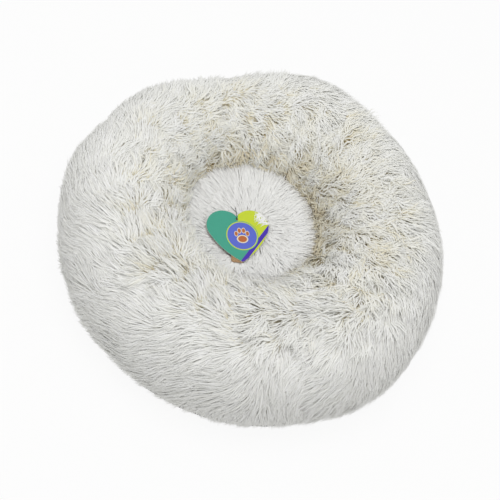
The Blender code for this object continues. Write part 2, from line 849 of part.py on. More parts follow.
def build_tag():
    """The hang tag on the cushion."""
    card = finish("printed_card", (0.10, 0.42, 0.33), 0.4)
    kraft = finish("kraft_paper", (0.45, 0.33, 0.22), 0.85)
    cord = finish("elastic_cord", (0.05, 0.05, 0.05), 0.7)
    tag_loop(cord)
    tag_plate("tag_leaf", leaf_outline(), LEAF_BOTTOM, LEAF_SPLAY, kraft)
    tag_plate("tag_card", heart_outline(), CARD_BOTTOM, 0.0, card)


remove_everything()
build_bed()
build_zip()
build_tag()
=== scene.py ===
"""A round dog bed of long-pile fur cloth: its looks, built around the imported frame.

Metres, +Z up, the origin on the floor under the middle of the bed, -Y its front.
"""

import logging
import math
from dataclasses import dataclass
from enum import Enum
from typing import Any, Iterable, Sequence

import bmesh
import bpy
import numpy as np
from mathutils import Matrix, Vector, noise


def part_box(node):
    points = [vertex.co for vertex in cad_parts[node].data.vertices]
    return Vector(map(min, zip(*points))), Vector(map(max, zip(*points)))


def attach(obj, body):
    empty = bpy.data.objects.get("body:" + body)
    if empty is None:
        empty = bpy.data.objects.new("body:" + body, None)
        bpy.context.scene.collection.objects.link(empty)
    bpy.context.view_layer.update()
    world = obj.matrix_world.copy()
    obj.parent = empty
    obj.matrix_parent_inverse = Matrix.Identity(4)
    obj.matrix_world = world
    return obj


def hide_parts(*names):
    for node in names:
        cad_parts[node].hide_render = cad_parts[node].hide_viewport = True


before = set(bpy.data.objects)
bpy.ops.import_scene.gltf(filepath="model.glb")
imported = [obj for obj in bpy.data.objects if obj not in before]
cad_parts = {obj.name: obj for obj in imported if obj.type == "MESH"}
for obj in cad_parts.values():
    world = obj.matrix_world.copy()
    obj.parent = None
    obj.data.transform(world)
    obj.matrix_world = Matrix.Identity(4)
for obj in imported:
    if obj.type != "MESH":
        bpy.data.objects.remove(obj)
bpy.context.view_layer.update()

LOG = logging.getLogger("dog_bed")
MM = 0.001
BAKE_MAP = "OFBake"
# What the trees read and store on points while they run, and a finished piece doesn't need
WORKING = (
    "along", "section", "root", "rise", "tone", "stray", "grown", "comb", "loft", "length", "tint",
    "draw", "wild", "cover", "turn",
)

Array = np.ndarray


def linear(code: str) -> tuple[float, float, float, float]:
    """Turn an sRGB hex colour into linear RGBA.

    Args:
        code: Six hex digits.

    Returns:
        The linear colour with an alpha of 1.
    """
    shares = [int(code[i:i + 2], 16) / 255 for i in (0, 2, 4)]
    low, high = 12.92, 1.055
    return (*[c / low if c <= 0.04045 else ((c + 0.055) / high) ** 2.4 for c in shares], 1.0)


class Graph:
    """A node tree and the one function that adds to it."""

    def __init__(self, tree: bpy.types.NodeTree) -> None:
        """Keep the tree."""
        self.tree = tree

    def fill(self, node: bpy.types.Node, inputs: Any) -> None:
        """Set or link a node's inputs.

        Args:
            node: The node.
            inputs: Values or sockets by input number or name, or in order, with None left alone.
        """
        for key, value in inputs.items() if isinstance(inputs, dict) else enumerate(inputs):
            if isinstance(value, bpy.types.NodeSocket):
                self.tree.links.new(value, node.inputs[key])
            elif value is not None:
                node.inputs[key].default_value = value

    def add(self, kind: str, *inputs: Any, output: Any = 0, **settings: Any) -> Any:
        """Add a node with its settings and links.

        Args:
            kind: The node's type, with its operation after a colon. "ShaderNode" is left out.
            inputs: Values or sockets in order, or one dict of them by number or name.
            output: Number or name of the output to give back.
            settings: The node's own properties.

        Returns:
            The output socket, or the node where it has none.
        """
        name, _, operation = kind.partition(":")
        node = self.tree.nodes.new(name if "Node" in name else f"ShaderNode{name}")
        if operation:
            node.operation = operation
        for key, value in settings.items():
            setattr(node, key, value)
        named = len(inputs) == 1 and isinstance(inputs[0], dict)
        self.fill(node, inputs[0] if named else inputs)
        return node.outputs[output] if len(node.outputs) else node


class Surface(Graph):
    """A material under way: its nodes and its shader."""

    def __init__(self, name: str) -> None:
        """Make the material."""
        self.material = bpy.data.materials.new(name)
        self.material.use_nodes = True
        super().__init__(self.material.node_tree)
        self.shader = self.tree.nodes["Principled BSDF"]

    def finish(self, inputs: dict[str, Any]) -> bpy.types.Material:
        """Set or link the shader's inputs and give back the material."""
        self.fill(self.shader, inputs)
        return self.material


def paint(socket: Any, stops: Sequence[tuple[float, str]], blend: str = "LINEAR") -> Any:
    """Give a colour ramp its colours.

    Args:
        socket: The ramp's colour socket.
        stops: Places and sRGB hex colours.
        blend: How one colour runs into the next.

    Returns:
        The same socket.
    """
    band = socket.node.color_ramp
    band.interpolation = blend
    while len(band.elements) < len(stops):
        band.elements.new(0.5)
    for element, (place, code) in zip(band.elements, stops):
        element.position = place
        element.color = linear(code)
    return socket


def new_tree(name: str, inputs: dict[str, str]) -> tuple[Graph, Any]:
    """Start a Geometry Nodes tree.

    Args:
        name: The tree's name.
        inputs: The kind of each named input.

    Returns:
        The tree's graph and the sockets of its inputs.
    """
    tree = bpy.data.node_groups.new(name, "GeometryNodeTree")
    tree.is_modifier = True
    for label, kind in inputs.items():
        tree.interface.new_socket(label, in_out="INPUT", socket_type=f"NodeSocket{kind}")
    tree.interface.new_socket("Geometry", in_out="OUTPUT", socket_type="NodeSocketGeometry")
    graph = Graph(tree)
    return graph, graph.add("NodeGroupInput").node.outputs


def new_object(name: str, mesh: bpy.types.Mesh) -> bpy.types.Object:
    """Link a mesh into the scene as an object."""
    item = bpy.data.objects.new(name, mesh)
    bpy.context.scene.collection.objects.link(item)
    return item


def weld(source: bpy.types.Mesh, mesh: bpy.types.Mesh, reach: float) -> None:
    """Copy a mesh into another, with its doubles merged and its normals outwards.

    Args:
        source: The mesh to copy.
        mesh: The mesh to fill, which may be the same.
        reach: How near to each other doubles lie.
    """
    work = bmesh.new()
    work.from_mesh(source)
    bmesh.ops.remove_doubles(work, verts=work.verts, dist=reach)
    bmesh.ops.recalc_face_normals(work, faces=work.faces)
    work.to_mesh(mesh)
    work.free()


def mesh_object(name: str, points: Iterable[Any], faces: Iterable[Any]) -> bpy.types.Object:
    """Make an object from points and faces, with its doubles merged and its normals outwards."""
    mesh = bpy.data.meshes.new(name)
    mesh.from_pydata([tuple(p) for p in points], [], [tuple(f) for f in faces])
    weld(mesh, mesh, 0.002 * MM)
    return new_object(name, mesh)


def cad_copy(node: str, name: str) -> bpy.types.Object:
    """Copy a CAD node's mesh into a new object, with its doubles merged."""
    mesh = bpy.data.meshes.new(name)
    weld(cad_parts[node].data, mesh, 0.01 * MM)
    return new_object(name, mesh)


def ring_faces(rings: int, sides: int) -> list[tuple[int, ...]]:
    """The faces between rings of points that follow each other."""
    return [
        (low + side, low + (side + 1) % sides, low + (side + 1) % sides + sides, low + side + sides)
        for low in range(0, (rings - 1) * sides, sides) for side in range(sides)
    ]


def closed_rings(name: str, rings: Sequence[Sequence[Any]]) -> bpy.types.Object:
    """Make an object from rings of points, closed at both ends."""
    sides = len(rings[0])
    faces = ring_faces(len(rings), sides)
    faces += [tuple(range(sides)), tuple(range((len(rings) - 1) * sides, len(rings) * sides))]
    return mesh_object(name, [point for ring in rings for point in ring], faces)


def circle(sides: int) -> list[tuple[float, float]]:
    """The cosine and sine of each corner of a round."""
    return [(math.cos(2 * math.pi * i / sides), math.sin(2 * math.pi * i / sides)) for i in range(sides)]


def evaluated_mesh(item: bpy.types.Object, name: str) -> bpy.types.Mesh:
    """Give back the mesh that an object's modifiers make."""
    graph = bpy.context.evaluated_depsgraph_get()
    graph.update()
    mesh = bpy.data.meshes.new_from_object(item.evaluated_get(graph), depsgraph=graph)
    mesh.name = name
    return mesh


def run_tree(
    item: bpy.types.Object, tree: bpy.types.NodeTree, values: dict[str, Any], name: str
) -> bpy.types.Mesh:
    """Run a Geometry Nodes tree on an object, which is removed.

    Args:
        item: The object.
        tree: The tree.
        values: Its inputs by name.
        name: The new mesh's name.

    Returns:
        The plain mesh that the tree makes.
    """
    modifier = item.modifiers.new(tree.name, "NODES")
    modifier.node_group = tree
    for socket in tree.interface.items_tree:
        if socket.in_out == "INPUT" and socket.name in values:
            modifier[socket.identifier] = values[socket.name]
    mesh = evaluated_mesh(item, name)
    bpy.data.objects.remove(item, do_unlink=True)
    for extra in [a.name for a in mesh.attributes if a.name in WORKING]:
        mesh.attributes.remove(mesh.attributes[extra])
    return mesh


def vectors(items: Any, name: str) -> Array:
    """One vector for each of a mesh's points or faces."""
    values = np.zeros(len(items) * 3, np.float32)
    items.foreach_get(name, values)
    return values.reshape(-1, 3)


def coordinates(mesh: bpy.types.Mesh) -> Array:
    """The places of a mesh's points."""
    return vectors(mesh.vertices, "co").astype(float)


def normals(mesh: bpy.types.Mesh) -> Array:
    """The normals at a mesh's points."""
    return vectors(mesh.vertices, "normal").astype(float)


def face_centres(mesh: bpy.types.Mesh) -> tuple[Array, Array]:
    """The middles and normals of a mesh's faces."""
    return vectors(mesh.polygons, "center"), vectors(mesh.polygons, "normal")


def set_coordinates(mesh: bpy.types.Mesh, places: Array) -> None:
    """Move a mesh's points."""
    mesh.vertices.foreach_set("co", places.astype(np.float32).ravel())
    mesh.update()


def store(mesh: bpy.types.Mesh, name: str, values: Any) -> None:
    """Store a number or a vector on each of a mesh's points, under a name."""
    values = np.asarray(values, np.float32)
    kind, field = ("FLOAT", "value") if values.ndim == 1 else ("FLOAT_VECTOR", "vector")
    layer = mesh.attributes.get(name) or mesh.attributes.new(name, kind, "POINT")
    layer.data.foreach_set(field, values.ravel())


def unit(rows: Array) -> Array:
    """Scale each row to a length of 1."""
    return rows / np.maximum(np.linalg.norm(rows, axis=-1, keepdims=True), 1e-9)


def outwards(places: Array) -> Array:
    """The level direction from the bed's middle to each point."""
    return unit(places * (1, 1, 0))


def bearing(places: Array) -> Array:
    """The heading of each point round the bed's middle, in radians from -pi to pi."""
    return np.arctan2(places[:, 1], places[:, 0])


def heading(places: Array) -> Array:
    """The heading of each point round the bed's middle, in degrees from 0 to 360."""
    return np.degrees(bearing(places)) % 360


def sector(places: Array, number: int) -> Array:
    """Which of a number of equal sectors round the bed each point is in."""
    return (heading(places) / (360 / number)).astype(int)


def past(values: Array, start: float, width: float) -> Array:
    """From 0 at a start to 1 a width further on, and below it where the width is negative."""
    return np.clip((values - start) / width, 0, 1)


def hump(values: Array, middle: float, width: float) -> Array:
    """From 1 at a middle smoothly down to 0 on both sides."""
    return np.exp(-(((values - middle) / width) ** 2))


def lobe(turns: Array, spread: float) -> Array:
    """From 1 where a turn is 0 smoothly down on both sides of the round."""
    return np.exp(-((1 - np.cos(turns)) / spread))


def near_zip(places: Array, room: float) -> Array:
    """Whether points lie over or under the zip's tapes, or nearer than a room to them."""
    low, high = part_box("zip_tape_front")
    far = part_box("zip_tape_rear")[1]
    return (
        (places[:, 0] > low.x - room) & (places[:, 0] < high.x + room)
        & (places[:, 1] > low.y - room) & (places[:, 1] < far.y + room)
    )


def dress(item: bpy.types.Object, material: bpy.types.Material, smooth: bool = True) -> None:
    """Give an object one material."""
    item.data.materials.clear()
    item.data.materials.append(material)
    if smooth:
        item.data.shade_smooth()


def recolour(node: str, material: bpy.types.Material) -> None:
    """Give a CAD node's material slots a better material."""
    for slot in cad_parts[node].material_slots:
        slot.material = material


def settle(item: bpy.types.Object, body: str, slot: str, *nodes: str) -> bpy.types.Object:
    """Hang a finished piece on the body it rides on and hide the nodes that it stands for."""
    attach(item, body)
    if nodes:
        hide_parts(*nodes)
    LOG.info("%s rides on %s with %d faces", item.name, body, len(item.data.polygons))
    return item


@dataclass(frozen=True)
class FurFinish:
    """Long-pile acrylic fur, tumbled: soft, matt, warm white with a tan root.

    The pile is read from the strand's own map: across it is the level of dye and painted shade
    and the strand's own tone, and along it is the way from root to tip.
    """

    # Root colours from the cushion's top to the deepest crevice, then the tips': the deeper levels
    # darken to tan and brown with painted shade
    roots: tuple[str, ...] = ("F6F5EC", "F2F0E4", "E2D9B8", "C4B080", "8A7244")
    tips: tuple[str, ...] = ("FEFEFC", "FCFCF8", "FDFCF4", "F8F3E0", "F1E7CC")
    root_end: float = 0.05
    tip_start: float = 0.38
    # How far the deeper levels' root colour, with its painted shade, creeps up the strand
    root_creep: float = 0.2
    tone_spread: float = 0.05
    roughness: float = 0.62
    specular: float = 0.35
    # The soft light edge that fine fibres give
    sheen: float = 0.2
    sheen_roughness: float = 0.5

    def build(self) -> bpy.types.Material:
        """Make the material."""
        surface = Surface("long_pile_acrylic_fur")
        add = surface.add
        across = add("SeparateXYZ", add("UVMap", uv_map=BAKE_MAP))
        levels = len(self.roots)
        root, tip = [
            paint(
                add("ValToRGB", across), [(i / levels, code) for i, code in enumerate(codes)], "CONSTANT"
            )
            for codes in (self.roots, self.tips)
        ]
        risen = add("Math:MULTIPLY_ADD", across, -self.root_creep, across.node.outputs[1])
        share = add(
            "MapRange", risen, self.root_end, self.tip_start, interpolation_type="SMOOTHSTEP"
        )
        pile = add("Mix", {0: share, 6: root, 7: tip}, output=2, data_type="RGBA")
        tone = add("Math:FRACT", add("Math:MULTIPLY", across, float(levels)))
        shade = add("MapRange", tone, 0.0, 1.0, 1.0 - self.tone_spread, 1.0)
        return surface.finish({
            "Base Color": add("VectorMath:SCALE", {0: pile, 3: shade}), "Roughness": self.roughness,
            "Specular IOR Level": self.specular, "Sheen Weight": self.sheen,
            "Sheen Roughness": self.sheen_roughness,
        })


@dataclass(frozen=True)
class BackingFinish:
    """The knitted polyester backing that the pile grows from: matt, tan, with a speckle of loops."""

    loop_width: float = 1.6 * MM
    dark: str = "D6C8A8"
    light: str = "EBE3D2"
    roughness: float = 0.9

    def build(self) -> bpy.types.Material:
        """Make the material."""
        surface = Surface("knitted_polyester_backing")
        add = surface.add
        place = add("TexCoord", output="Object")
        speck = add("TexNoise", {0: place, 2: 1 / self.loop_width, 3: 2.0})
        bump = add("Bump", {"Strength": 0.4, "Distance": 0.3 * MM, "Height": speck})
        return surface.finish({
            "Base Color": paint(add("ValToRGB", speck), [(0.3, self.dark), (0.7, self.light)]),
            "Normal": bump, "Roughness": self.roughness,
        })


@dataclass
class Padding:
    """Stuffs a closed form with a short cloth simulation under air pressure."""

    voxel: float = 6 * MM
    shrink: float = 2.5 * MM
    cap: float = 5 * MM
    quick_share: float = 0.7
    quality: int = 5
    mass: float = 0.002
    pressure: float = 12.0
    stiffness: float = 0.2
    bending: float = 0.02
    frames: int = 20

    def swell(self, item: bpy.types.Object) -> None:
        """Remesh an object evenly and let it swell.

        Args:
            item: A closed mesh object.
        """
        mesh = item.data
        set_coordinates(mesh, coordinates(mesh) - normals(mesh) * self.shrink)
        remesh = item.modifiers.new("even", "REMESH")
        remesh.mode = "VOXEL"
        remesh.voxel_size = self.voxel
        even = evaluated_mesh(item, item.data.name)
        item.modifiers.clear()
        item.data = even
        start = coordinates(even)
        cloth = item.modifiers.new("cloth", "CLOTH")
        for name, value in (
            ("quality", self.quality), ("mass", self.mass), ("tension_stiffness", self.stiffness),
            ("compression_stiffness", self.stiffness), ("shear_stiffness", self.stiffness),
            ("bending_stiffness", self.bending), ("use_pressure", True),
            ("uniform_pressure_force", self.pressure),
        ):
            setattr(cloth.settings, name, value)
        cloth.settings.effector_weights.gravity = 0.0
        cloth.point_cache.frame_start = 1
        cloth.point_cache.frame_end = self.frames
        scene = bpy.context.scene
        for number in range(1, self.frames + 1):
            scene.frame_set(number)
        end = coordinates(evaluated_mesh(item, "swollen"))
        item.modifiers.clear()
        scene.frame_set(1)
        move = end - start
        far = np.linalg.norm(move, axis=1, keepdims=True)
        move *= np.minimum(1.0, self.cap / np.maximum(far, 1e-9))
        set_coordinates(even, start + move)


@dataclass(frozen=True)
class Tufts:
    """The tufts of the ring's inner half, where the solid has them: rows with dips between them.

    Angles are in degrees, over the ring's section from straight out of the bed.
    """

    number: int = 27
    depth: float = 8.5 * MM
    first_row: float = 75.0
    pitch: float = 25.0
    sway: float = 0.9
    sway_waves: int = 4
    fade: tuple[tuple[float, float], ...] = (
        (62.5, 0.0), (75.0, 0.5), (87.5, 0.8), (100.0, 1.0), (150.0, 1.0), (162.5, 0.5), (180.0, 0.0)
    )
    # The form of the ring's section
    squareness: float = 2.2
    height_per_width: float = 1.25

    def share(self, places: Array, upward: Array) -> Array:
        """How far into a dip each point is, from 0 on a tuft to 1 in a dip.

        Args:
            places: Points of the ring.
            upward: The surface's normals there.

        Returns:
            The share at each point.
        """
        turn = bearing(places)
        out = (upward * outwards(places)).sum(1)
        power = self.squareness / (2 * (self.squareness - 1))
        rise = (self.height_per_width * np.maximum(upward[:, 2], 0)) ** power
        angle = np.arctan2(rise, np.sign(out) * np.abs(out) ** power)
        along = np.cos(self.number * turn + self.sway * np.sin(self.sway_waves * turn + angle))
        over = np.cos(math.pi * (np.degrees(angle) - self.first_row) / self.pitch)
        fade = np.interp(np.degrees(angle), *zip(*self.fade))
        return fade * (1 - along * over) / 2


@dataclass(frozen=True)
class Swell:
    """Smooth noise: the width of one swell, and a shift that makes each pattern its own."""

    width: float
    shift: float

    def at(self, places: Array) -> Array:
        """The noise at each point, from -1 to 1."""
        offset = Vector((self.shift, -self.shift, 0.5 * self.shift))
        return np.array([noise.noise(Vector(p) / self.width + offset) for p in places])


class Hang(Enum):
    """How the pile of a piece of fur cloth lies."""

    RING = "ring"
    CUSHION = "cushion"


@dataclass
class Comb:
    """The way that the pile lies on the backing: its direction, rise, length, and its level of dye and
    painted shade.

    A lean is the angle from straight out of the bed, over the ring, towards clockwise as seen
    from above, in degrees. The leans are given by the heading round the bed. An angle is taken
    over the ring's section, from straight out of the bed, in degrees.
    """

    outer_headings: tuple[float, ...] = (-153, -108, -63, -18, 27, 72, 117, 162, 207)
    outer_leans: tuple[float, ...] = (63, 68, 12, 48, 42, 33, 49, 61, 63)
    wall_headings: tuple[float, ...] = (
        -153, -108, -63, -23, -3, 27, 72, 84, 92, 117, 137, 157, 177, 207
    )
    wall_leans: tuple[float, ...] = (110, 150, 165, 120, 40, 15, 20, 60, 165, 165, 140, 100, 95, 110)
    # The angle where the outer side's leans give way to the wall's, and how much it sways
    wall_start: float = 108.0
    wall_sway: float = 14.0
    wall_width: float = 20.0
    wall_swell: Swell = Swell(60 * MM, 1.3)
    # Turns of the flow, in degrees: large whorls, small locks and curls in the crevice
    whorls: tuple[Swell, float] = (Swell(85 * MM, 3.1), 60.0)
    locks: tuple[Swell, float] = (Swell(24 * MM, 7.7), 45.0)
    curls: tuple[Swell, float] = (Swell(12 * MM, 4.4), 150.0)
    curls_from: float = 0.8
    # How strongly the locks turn: on the outer side, more on the inner, and on the cushion
    lock_shares: tuple[float, float, float] = (0.9, 0.6, 0.79)
    # Uneven length and dye: broad patches and small spots, on the ring and on the cushion
    patches: Swell = Swell(45 * MM, 5.5)
    spots: Swell = Swell(15 * MM, 8.2)
    cushion_patches: Swell = Swell(40 * MM, 9.0)
    cushion_spots: Swell = Swell(15 * MM, 2.2)
    # From where the inner side's pile takes over: angle and width
    inner_side: tuple[float, float] = (68, 52)
    # Below here the outer pile hangs down, and lower still it thins out: height and width
    hang: tuple[float, float] = (90 * MM, -60 * MM)
    thin: tuple[float, float] = (20 * MM, 60 * MM)
    # The longest pile: over the front, at the crest
    front: tuple[float, float] = (-63, 60)
    crest: tuple[float, float] = (112, 22)
    # The band of painted shade in the crevice at the wall's foot: height and width
    wall_foot_shade: tuple[float, float] = (78 * MM, 22 * MM)
    well: tuple[float, float] = (-0.017, 0.006)
    # The cushion's rim, from its middle: start and width
    rim: tuple[float, float] = (85 * MM, 30 * MM)
    tufts: Tufts = Tufts()
    # The side where the ring's pile runs into the cushion's
    open_heading: float = 258.0
    open_spread: float = 1.1
    # The pile parts over the ring's cross seam
    seam_heading: float = 126.7
    seam_width: float = 9 * MM
    seam_parting: float = 0.9

    def turned(self, flow: Array, upward: Array, places: Array, share: Any) -> Array:
        """Turn a flow about the surface's normal by large whorls and small locks.

        Args:
            flow: Directions along the surface.
            upward: The surface's normals.
            places: The points.
            share: How strongly the locks turn.

        Returns:
            The turned directions.
        """
        (whorl, whorl_turn), (lock, lock_turn), (curl, curl_turn) = self.whorls, self.locks, self.curls
        angle = np.radians(
            whorl_turn * whorl.at(places)
            + lock_turn * lock.at(places) * share
            + curl_turn * curl.at(places) * np.maximum(share - self.curls_from, 0)
        )[:, None]
        return flow * np.cos(angle) + np.cross(upward, flow) * np.sin(angle)

    def openness(self, flat: Array) -> Array:
        """How near points are to the side where ring and cushion run together, from 0 to 1."""
        return lobe(bearing(flat) - math.radians(self.open_heading), self.open_spread)

    def ring(self, places: Array, upward: Array) -> dict[str, Array]:
        """Lay the pile on the ring.

        Args:
            places: Points of the backing.
            upward: The normals there.

        Returns:
            What a strand reads at its root, by name.
        """
        outward = outwards(places)
        around = np.stack([-outward[:, 1], outward[:, 0], np.zeros(len(places))], 1)
        over = unit(np.cross(around, upward))
        angle = np.degrees(np.arctan2(upward[:, 2], (upward * outward).sum(1))) % 360
        angle = np.where(angle > 270, angle - 360, angle)
        turn = np.degrees(bearing(places))
        start = self.wall_start + self.wall_sway * self.wall_swell.at(places)
        wall = 0.5 + 0.5 * np.tanh((angle - start) / self.wall_width)
        outer_lean = np.interp(turn, self.outer_headings, self.outer_leans)
        wall_lean = np.interp(turn, self.wall_headings, self.wall_leans)
        hung = past(places[:, 2], *self.hang) * (1 - wall)
        lean = np.radians((outer_lean * (1 - wall) + wall_lean * wall) * (1 - 0.75 * hung))
        flow = unit(over * np.cos(lean)[:, None] - around * np.sin(lean)[:, None])
        inner = past(angle, *self.inner_side)
        share, more, _ = self.lock_shares
        flow = unit(self.turned(flow, upward, places, share + more * inner))
        patch, spot = self.patches.at(places), self.spots.at(places)
        side = np.clip((upward * outward).sum(1), 0, 1) ** 2
        near, crest = hump(turn, *self.front), hump(angle, *self.crest)
        # Painted shade in the crevice where the wall meets the cushion
        foot = hump(places[:, 2], *self.wall_foot_shade) * inner
        dip = self.tufts.share(places, upward)
        open_side = self.openness(places)
        off = np.radians((turn - self.seam_heading + 180) % 360 - 180)
        off = off * np.linalg.norm(places[:, :2], axis=1)
        seam = hump(off, 0.0, self.seam_width) * (angle > 60)
        parted = around * (self.seam_parting * np.sign(off) * seam)[:, None]
        return {
            "comb": unit(flow + parted),
            # It stands up most on the wall, and lies down in the dips and on the open side
            "loft": 0.32 + 0.22 * side + 0.53 * inner * (1 - 0.35 * dip) * (1 - 0.4 * open_side),
            "length": MM * (34 - 10 * inner * (1 - 0.7 * open_side) + 4 * patch + 9 * near * crest),
            # It shows more tan inside, in spots and dips, at the seam and at the wall's foot: painted
            # shade in the well, its dips, the seam's parting and the crevice
            "tint": 0.6 + inner * (
                0.9 - 0.7 * open_side + (2.2 - 0.3 * open_side) * spot + 0.8 * patch + dip
            ) + seam + 3.2 * foot * (1 - 0.8 * open_side),
            # The locks draw together and wave inside, and hardly outside
            "draw": 0.08 + 0.85 * inner * (1 - 0.5 * open_side) + 0.1 * patch,
            "wild": 0.32 + 1.25 * inner * (1 - 0.5 * open_side),
            "cover": 0.8 + 0.2 * past(places[:, 2], *self.thin),
        }

    def cushion(self, places: Array, upward: Array) -> dict[str, Array]:
        """Lay the pile on the cushion, stroked out from its middle.

        Args:
            places: Points of the backing.
            upward: The normals there.

        Returns:
            What a strand reads at its root, by name.
        """
        flat = (places - np.array([*self.well, 0.0])) * (1, 1, 0)
        outward = unit(flat)
        flow = outward - upward * (outward * upward).sum(1)[:, None]
        rim = past(np.linalg.norm(flat, axis=1), *self.rim)
        open_side = self.openness(flat)
        patch, spot = self.cushion_patches.at(places), self.cushion_spots.at(places)
        return {
            "comb": unit(self.turned(unit(flow), upward, places, self.lock_shares[2])),
            "loft": 0.55 + rim * (0.2 - 0.35 * open_side),
            "length": MM * (31 + 8 * rim * open_side),
            # It shows tan only towards the rim, least on the open side: painted shade by the crevice
            "tint": (2.4 - 2.0 * open_side) * rim - 0.4 + 0.3 * patch + (1.5 - open_side) * rim * spot,
            "draw": 0.2 + 0.35 * rim,
            "wild": 0.5 + 0.6 * rim,
            "cover": np.ones(len(places)),
        }


@dataclass
class FurTree:
    """The Geometry Nodes tree that grows tapered strands on a backing."""

    SIDES = 3
    # The way along and the girth of each ring of a strand's points, before the tip
    STRAIGHT = ((0.0, 0.85), (0.36, 1.0), (0.7, 0.78))
    WAVY = ((0.0, 0.8), (0.22, 1.0), (0.44, 1.0), (0.64, 0.9), (0.83, 0.65))
    FLATNESS = 0.2
    # Strands' lengths, as shares of the pile's
    LENGTHS = (0.72, 1.12)
    # Large locks and small ones: size, pull and waves, as shares of the cloth's
    LOCKS = ((1.0, 1.0, 0.9), (0.4, 0.9, 1.7))
    # More roots per square metre than the spacing lets through
    DENSITY = 2.0e6

    def strand(self, rings: Sequence[tuple[float, float]]) -> bpy.types.Object:
        """Make one strand, whose points know their way along it and round it.

        Args:
            rings: The way along and the girth of each ring of points, before the tip.

        Returns:
            A hidden object.
        """
        along, section = [], []
        for place, girth in rings:
            for side in range(self.SIDES):
                turn = 2 * math.pi * side / self.SIDES + math.pi / 2
                along.append(place)
                section.append((girth * math.cos(turn), girth * self.FLATNESS * math.sin(turn), 0.0))
        last, tip = len(along) - self.SIDES, len(along)
        faces = ring_faces(len(rings), self.SIDES)
        faces += [(last + i, last + (i + 1) % self.SIDES, tip) for i in range(self.SIDES)]
        mesh = bpy.data.meshes.new("strand")
        mesh.from_pydata([(0.0, 0.0, 0.0)] * (tip + 1), [], faces)
        store(mesh, "along", along + [1.0])
        store(mesh, "section", section + [(0.0, 0.0, 0.0)])
        item = new_object("strand", mesh)
        item.hide_render = True
        return item

    def build(self) -> bpy.types.NodeTree:
        """Make the tree."""
        graph, given = new_tree("fur", {
            "Geometry": "Geometry", "Strand": "Object", "Material": "Material", "Spacing": "Float",
            "Width": "Float", "Lock": "Float", "Gather": "Float", "Curl": "Float", "Wave": "Float",
            "Sag": "Float", "Floor": "Float", "Seed": "Int",
        })
        add = graph.add
        read = {
            name: add("GeometryNodeInputNamedAttribute", name, data_type=kind)
            for kind, names in (
                ("FLOAT", ("cover", "length", "loft", "draw", "wild", "tint", "tone", "grown", "along")),
                ("FLOAT_VECTOR", ("comb", "root", "rise", "stray", "section")),
            )
            for name in names
        }
        root, rise, stray, along = read["root"], read["rise"], read["stray"], read["along"]
        length, wild, width = read["grown"], read["wild"], given["Width"]

        def moved(path: Any, direction: Any, amount: Any) -> Any:
            """Move a path in a direction by an amount."""
            return add("VectorMath:ADD", path, add("VectorMath:SCALE", {0: direction, 3: amount}))

        def lain(direction: Any) -> Any:
            """Take out of a direction what points away from the backing."""
            out = add("VectorMath:DOT_PRODUCT", direction, rise, output="Value")
            return add("VectorMath:SUBTRACT", direction, add("VectorMath:SCALE", {0: rise, 3: out}))

        points = add(
            "GeometryNodeDistributePointsOnFaces",
            {"Mesh": given["Geometry"], "Distance Min": given["Spacing"], "Density Max": self.DENSITY,
             "Density Factor": read["cover"], "Seed": given["Seed"]},
            distribute_method="POISSON",
        )
        seeds = [add("Math:ADD", given["Seed"], float(shift)) for shift in (1, 2, 3)]
        draws = [
            add("FunctionNodeRandomValue", {2: low, 3: high, 8: seed}, output=1, data_type="FLOAT")
            for seed, (low, high) in ((seeds[0], (0.0, 1.0)), (seeds[2], self.LENGTHS))
        ]
        off = add(
            "FunctionNodeRandomValue", {0: (-1.0, -1.0, -1.0), 1: (1.0, 1.0, 1.0), 8: seeds[1]},
            data_type="FLOAT_VECTOR",
        )
        upward = points.node.outputs["Normal"]
        for name, kind, value in (
            ("root", "FLOAT_VECTOR", add("GeometryNodeInputPosition")),
            ("rise", "FLOAT_VECTOR", upward), ("tone", "FLOAT", draws[0]),
            ("stray", "FLOAT_VECTOR", off),
            ("grown", "FLOAT", add("Math:MULTIPLY", read["length"], draws[1])),
        ):
            points = add(
                "GeometryNodeStoreNamedAttribute",
                {"Geometry": points, "Name": name, "Value": value}, data_type=kind, domain="POINT",
            )
        strand = add("GeometryNodeObjectInfo", {"Object": given["Strand"]}, output="Geometry")
        grown = add("GeometryNodeInstanceOnPoints", {"Points": points, "Instance": strand})
        grown = add("GeometryNodeRealizeInstances", grown)
        bend = add("SeparateXYZ", stray).node.outputs
        sway, lifted = bend[1], bend[2]
        square = add("Math:MULTIPLY", along, along)

        # The strand's own direction along the backing, a little off its neighbours'
        flow = moved(read["comb"], stray, add("Math:MULTIPLY_ADD", wild, 0.2, 0.1))
        flow = add("VectorMath:NORMALIZE", lain(flow))
        side = add("VectorMath:CROSS_PRODUCT", rise, flow)

        # It rises from the backing, then lies over along the flow
        height = add("Math:SUBTRACT", along, add("Math:MULTIPLY", square, 0.62))
        steep = add("Math:MULTIPLY", lifted, add("Math:MULTIPLY_ADD", wild, 0.08, 0.08))
        steep = add("Math:ADD", read["loft"], steep)
        climb = add("Math:MULTIPLY", add("Math:MULTIPLY_ADD", along, -2 * 0.62, 1.0), steep)
        height = add("Math:MULTIPLY", add("Math:MULTIPLY", height, steep), length)
        reach = add("Math:ADD", add("Math:MULTIPLY", along, 0.4), add("Math:MULTIPLY", square, 0.6))
        reach = add("Math:MULTIPLY", reach, length)
        curl = add("Math:MULTIPLY", square, given["Curl"])
        curl = add("Math:MULTIPLY", curl, add("Math:MULTIPLY", sway, length))
        drop = add("Math:MULTIPLY", square, given["Sag"])
        drop = add("Math:MULTIPLY", drop, add("Math:MULTIPLY", length, -1.0))
        path = moved(moved(moved(root, rise, height), flow, reach), side, curl)
        path = add("VectorMath:ADD", path, add("CombineXYZ", 0.0, 0.0, drop))

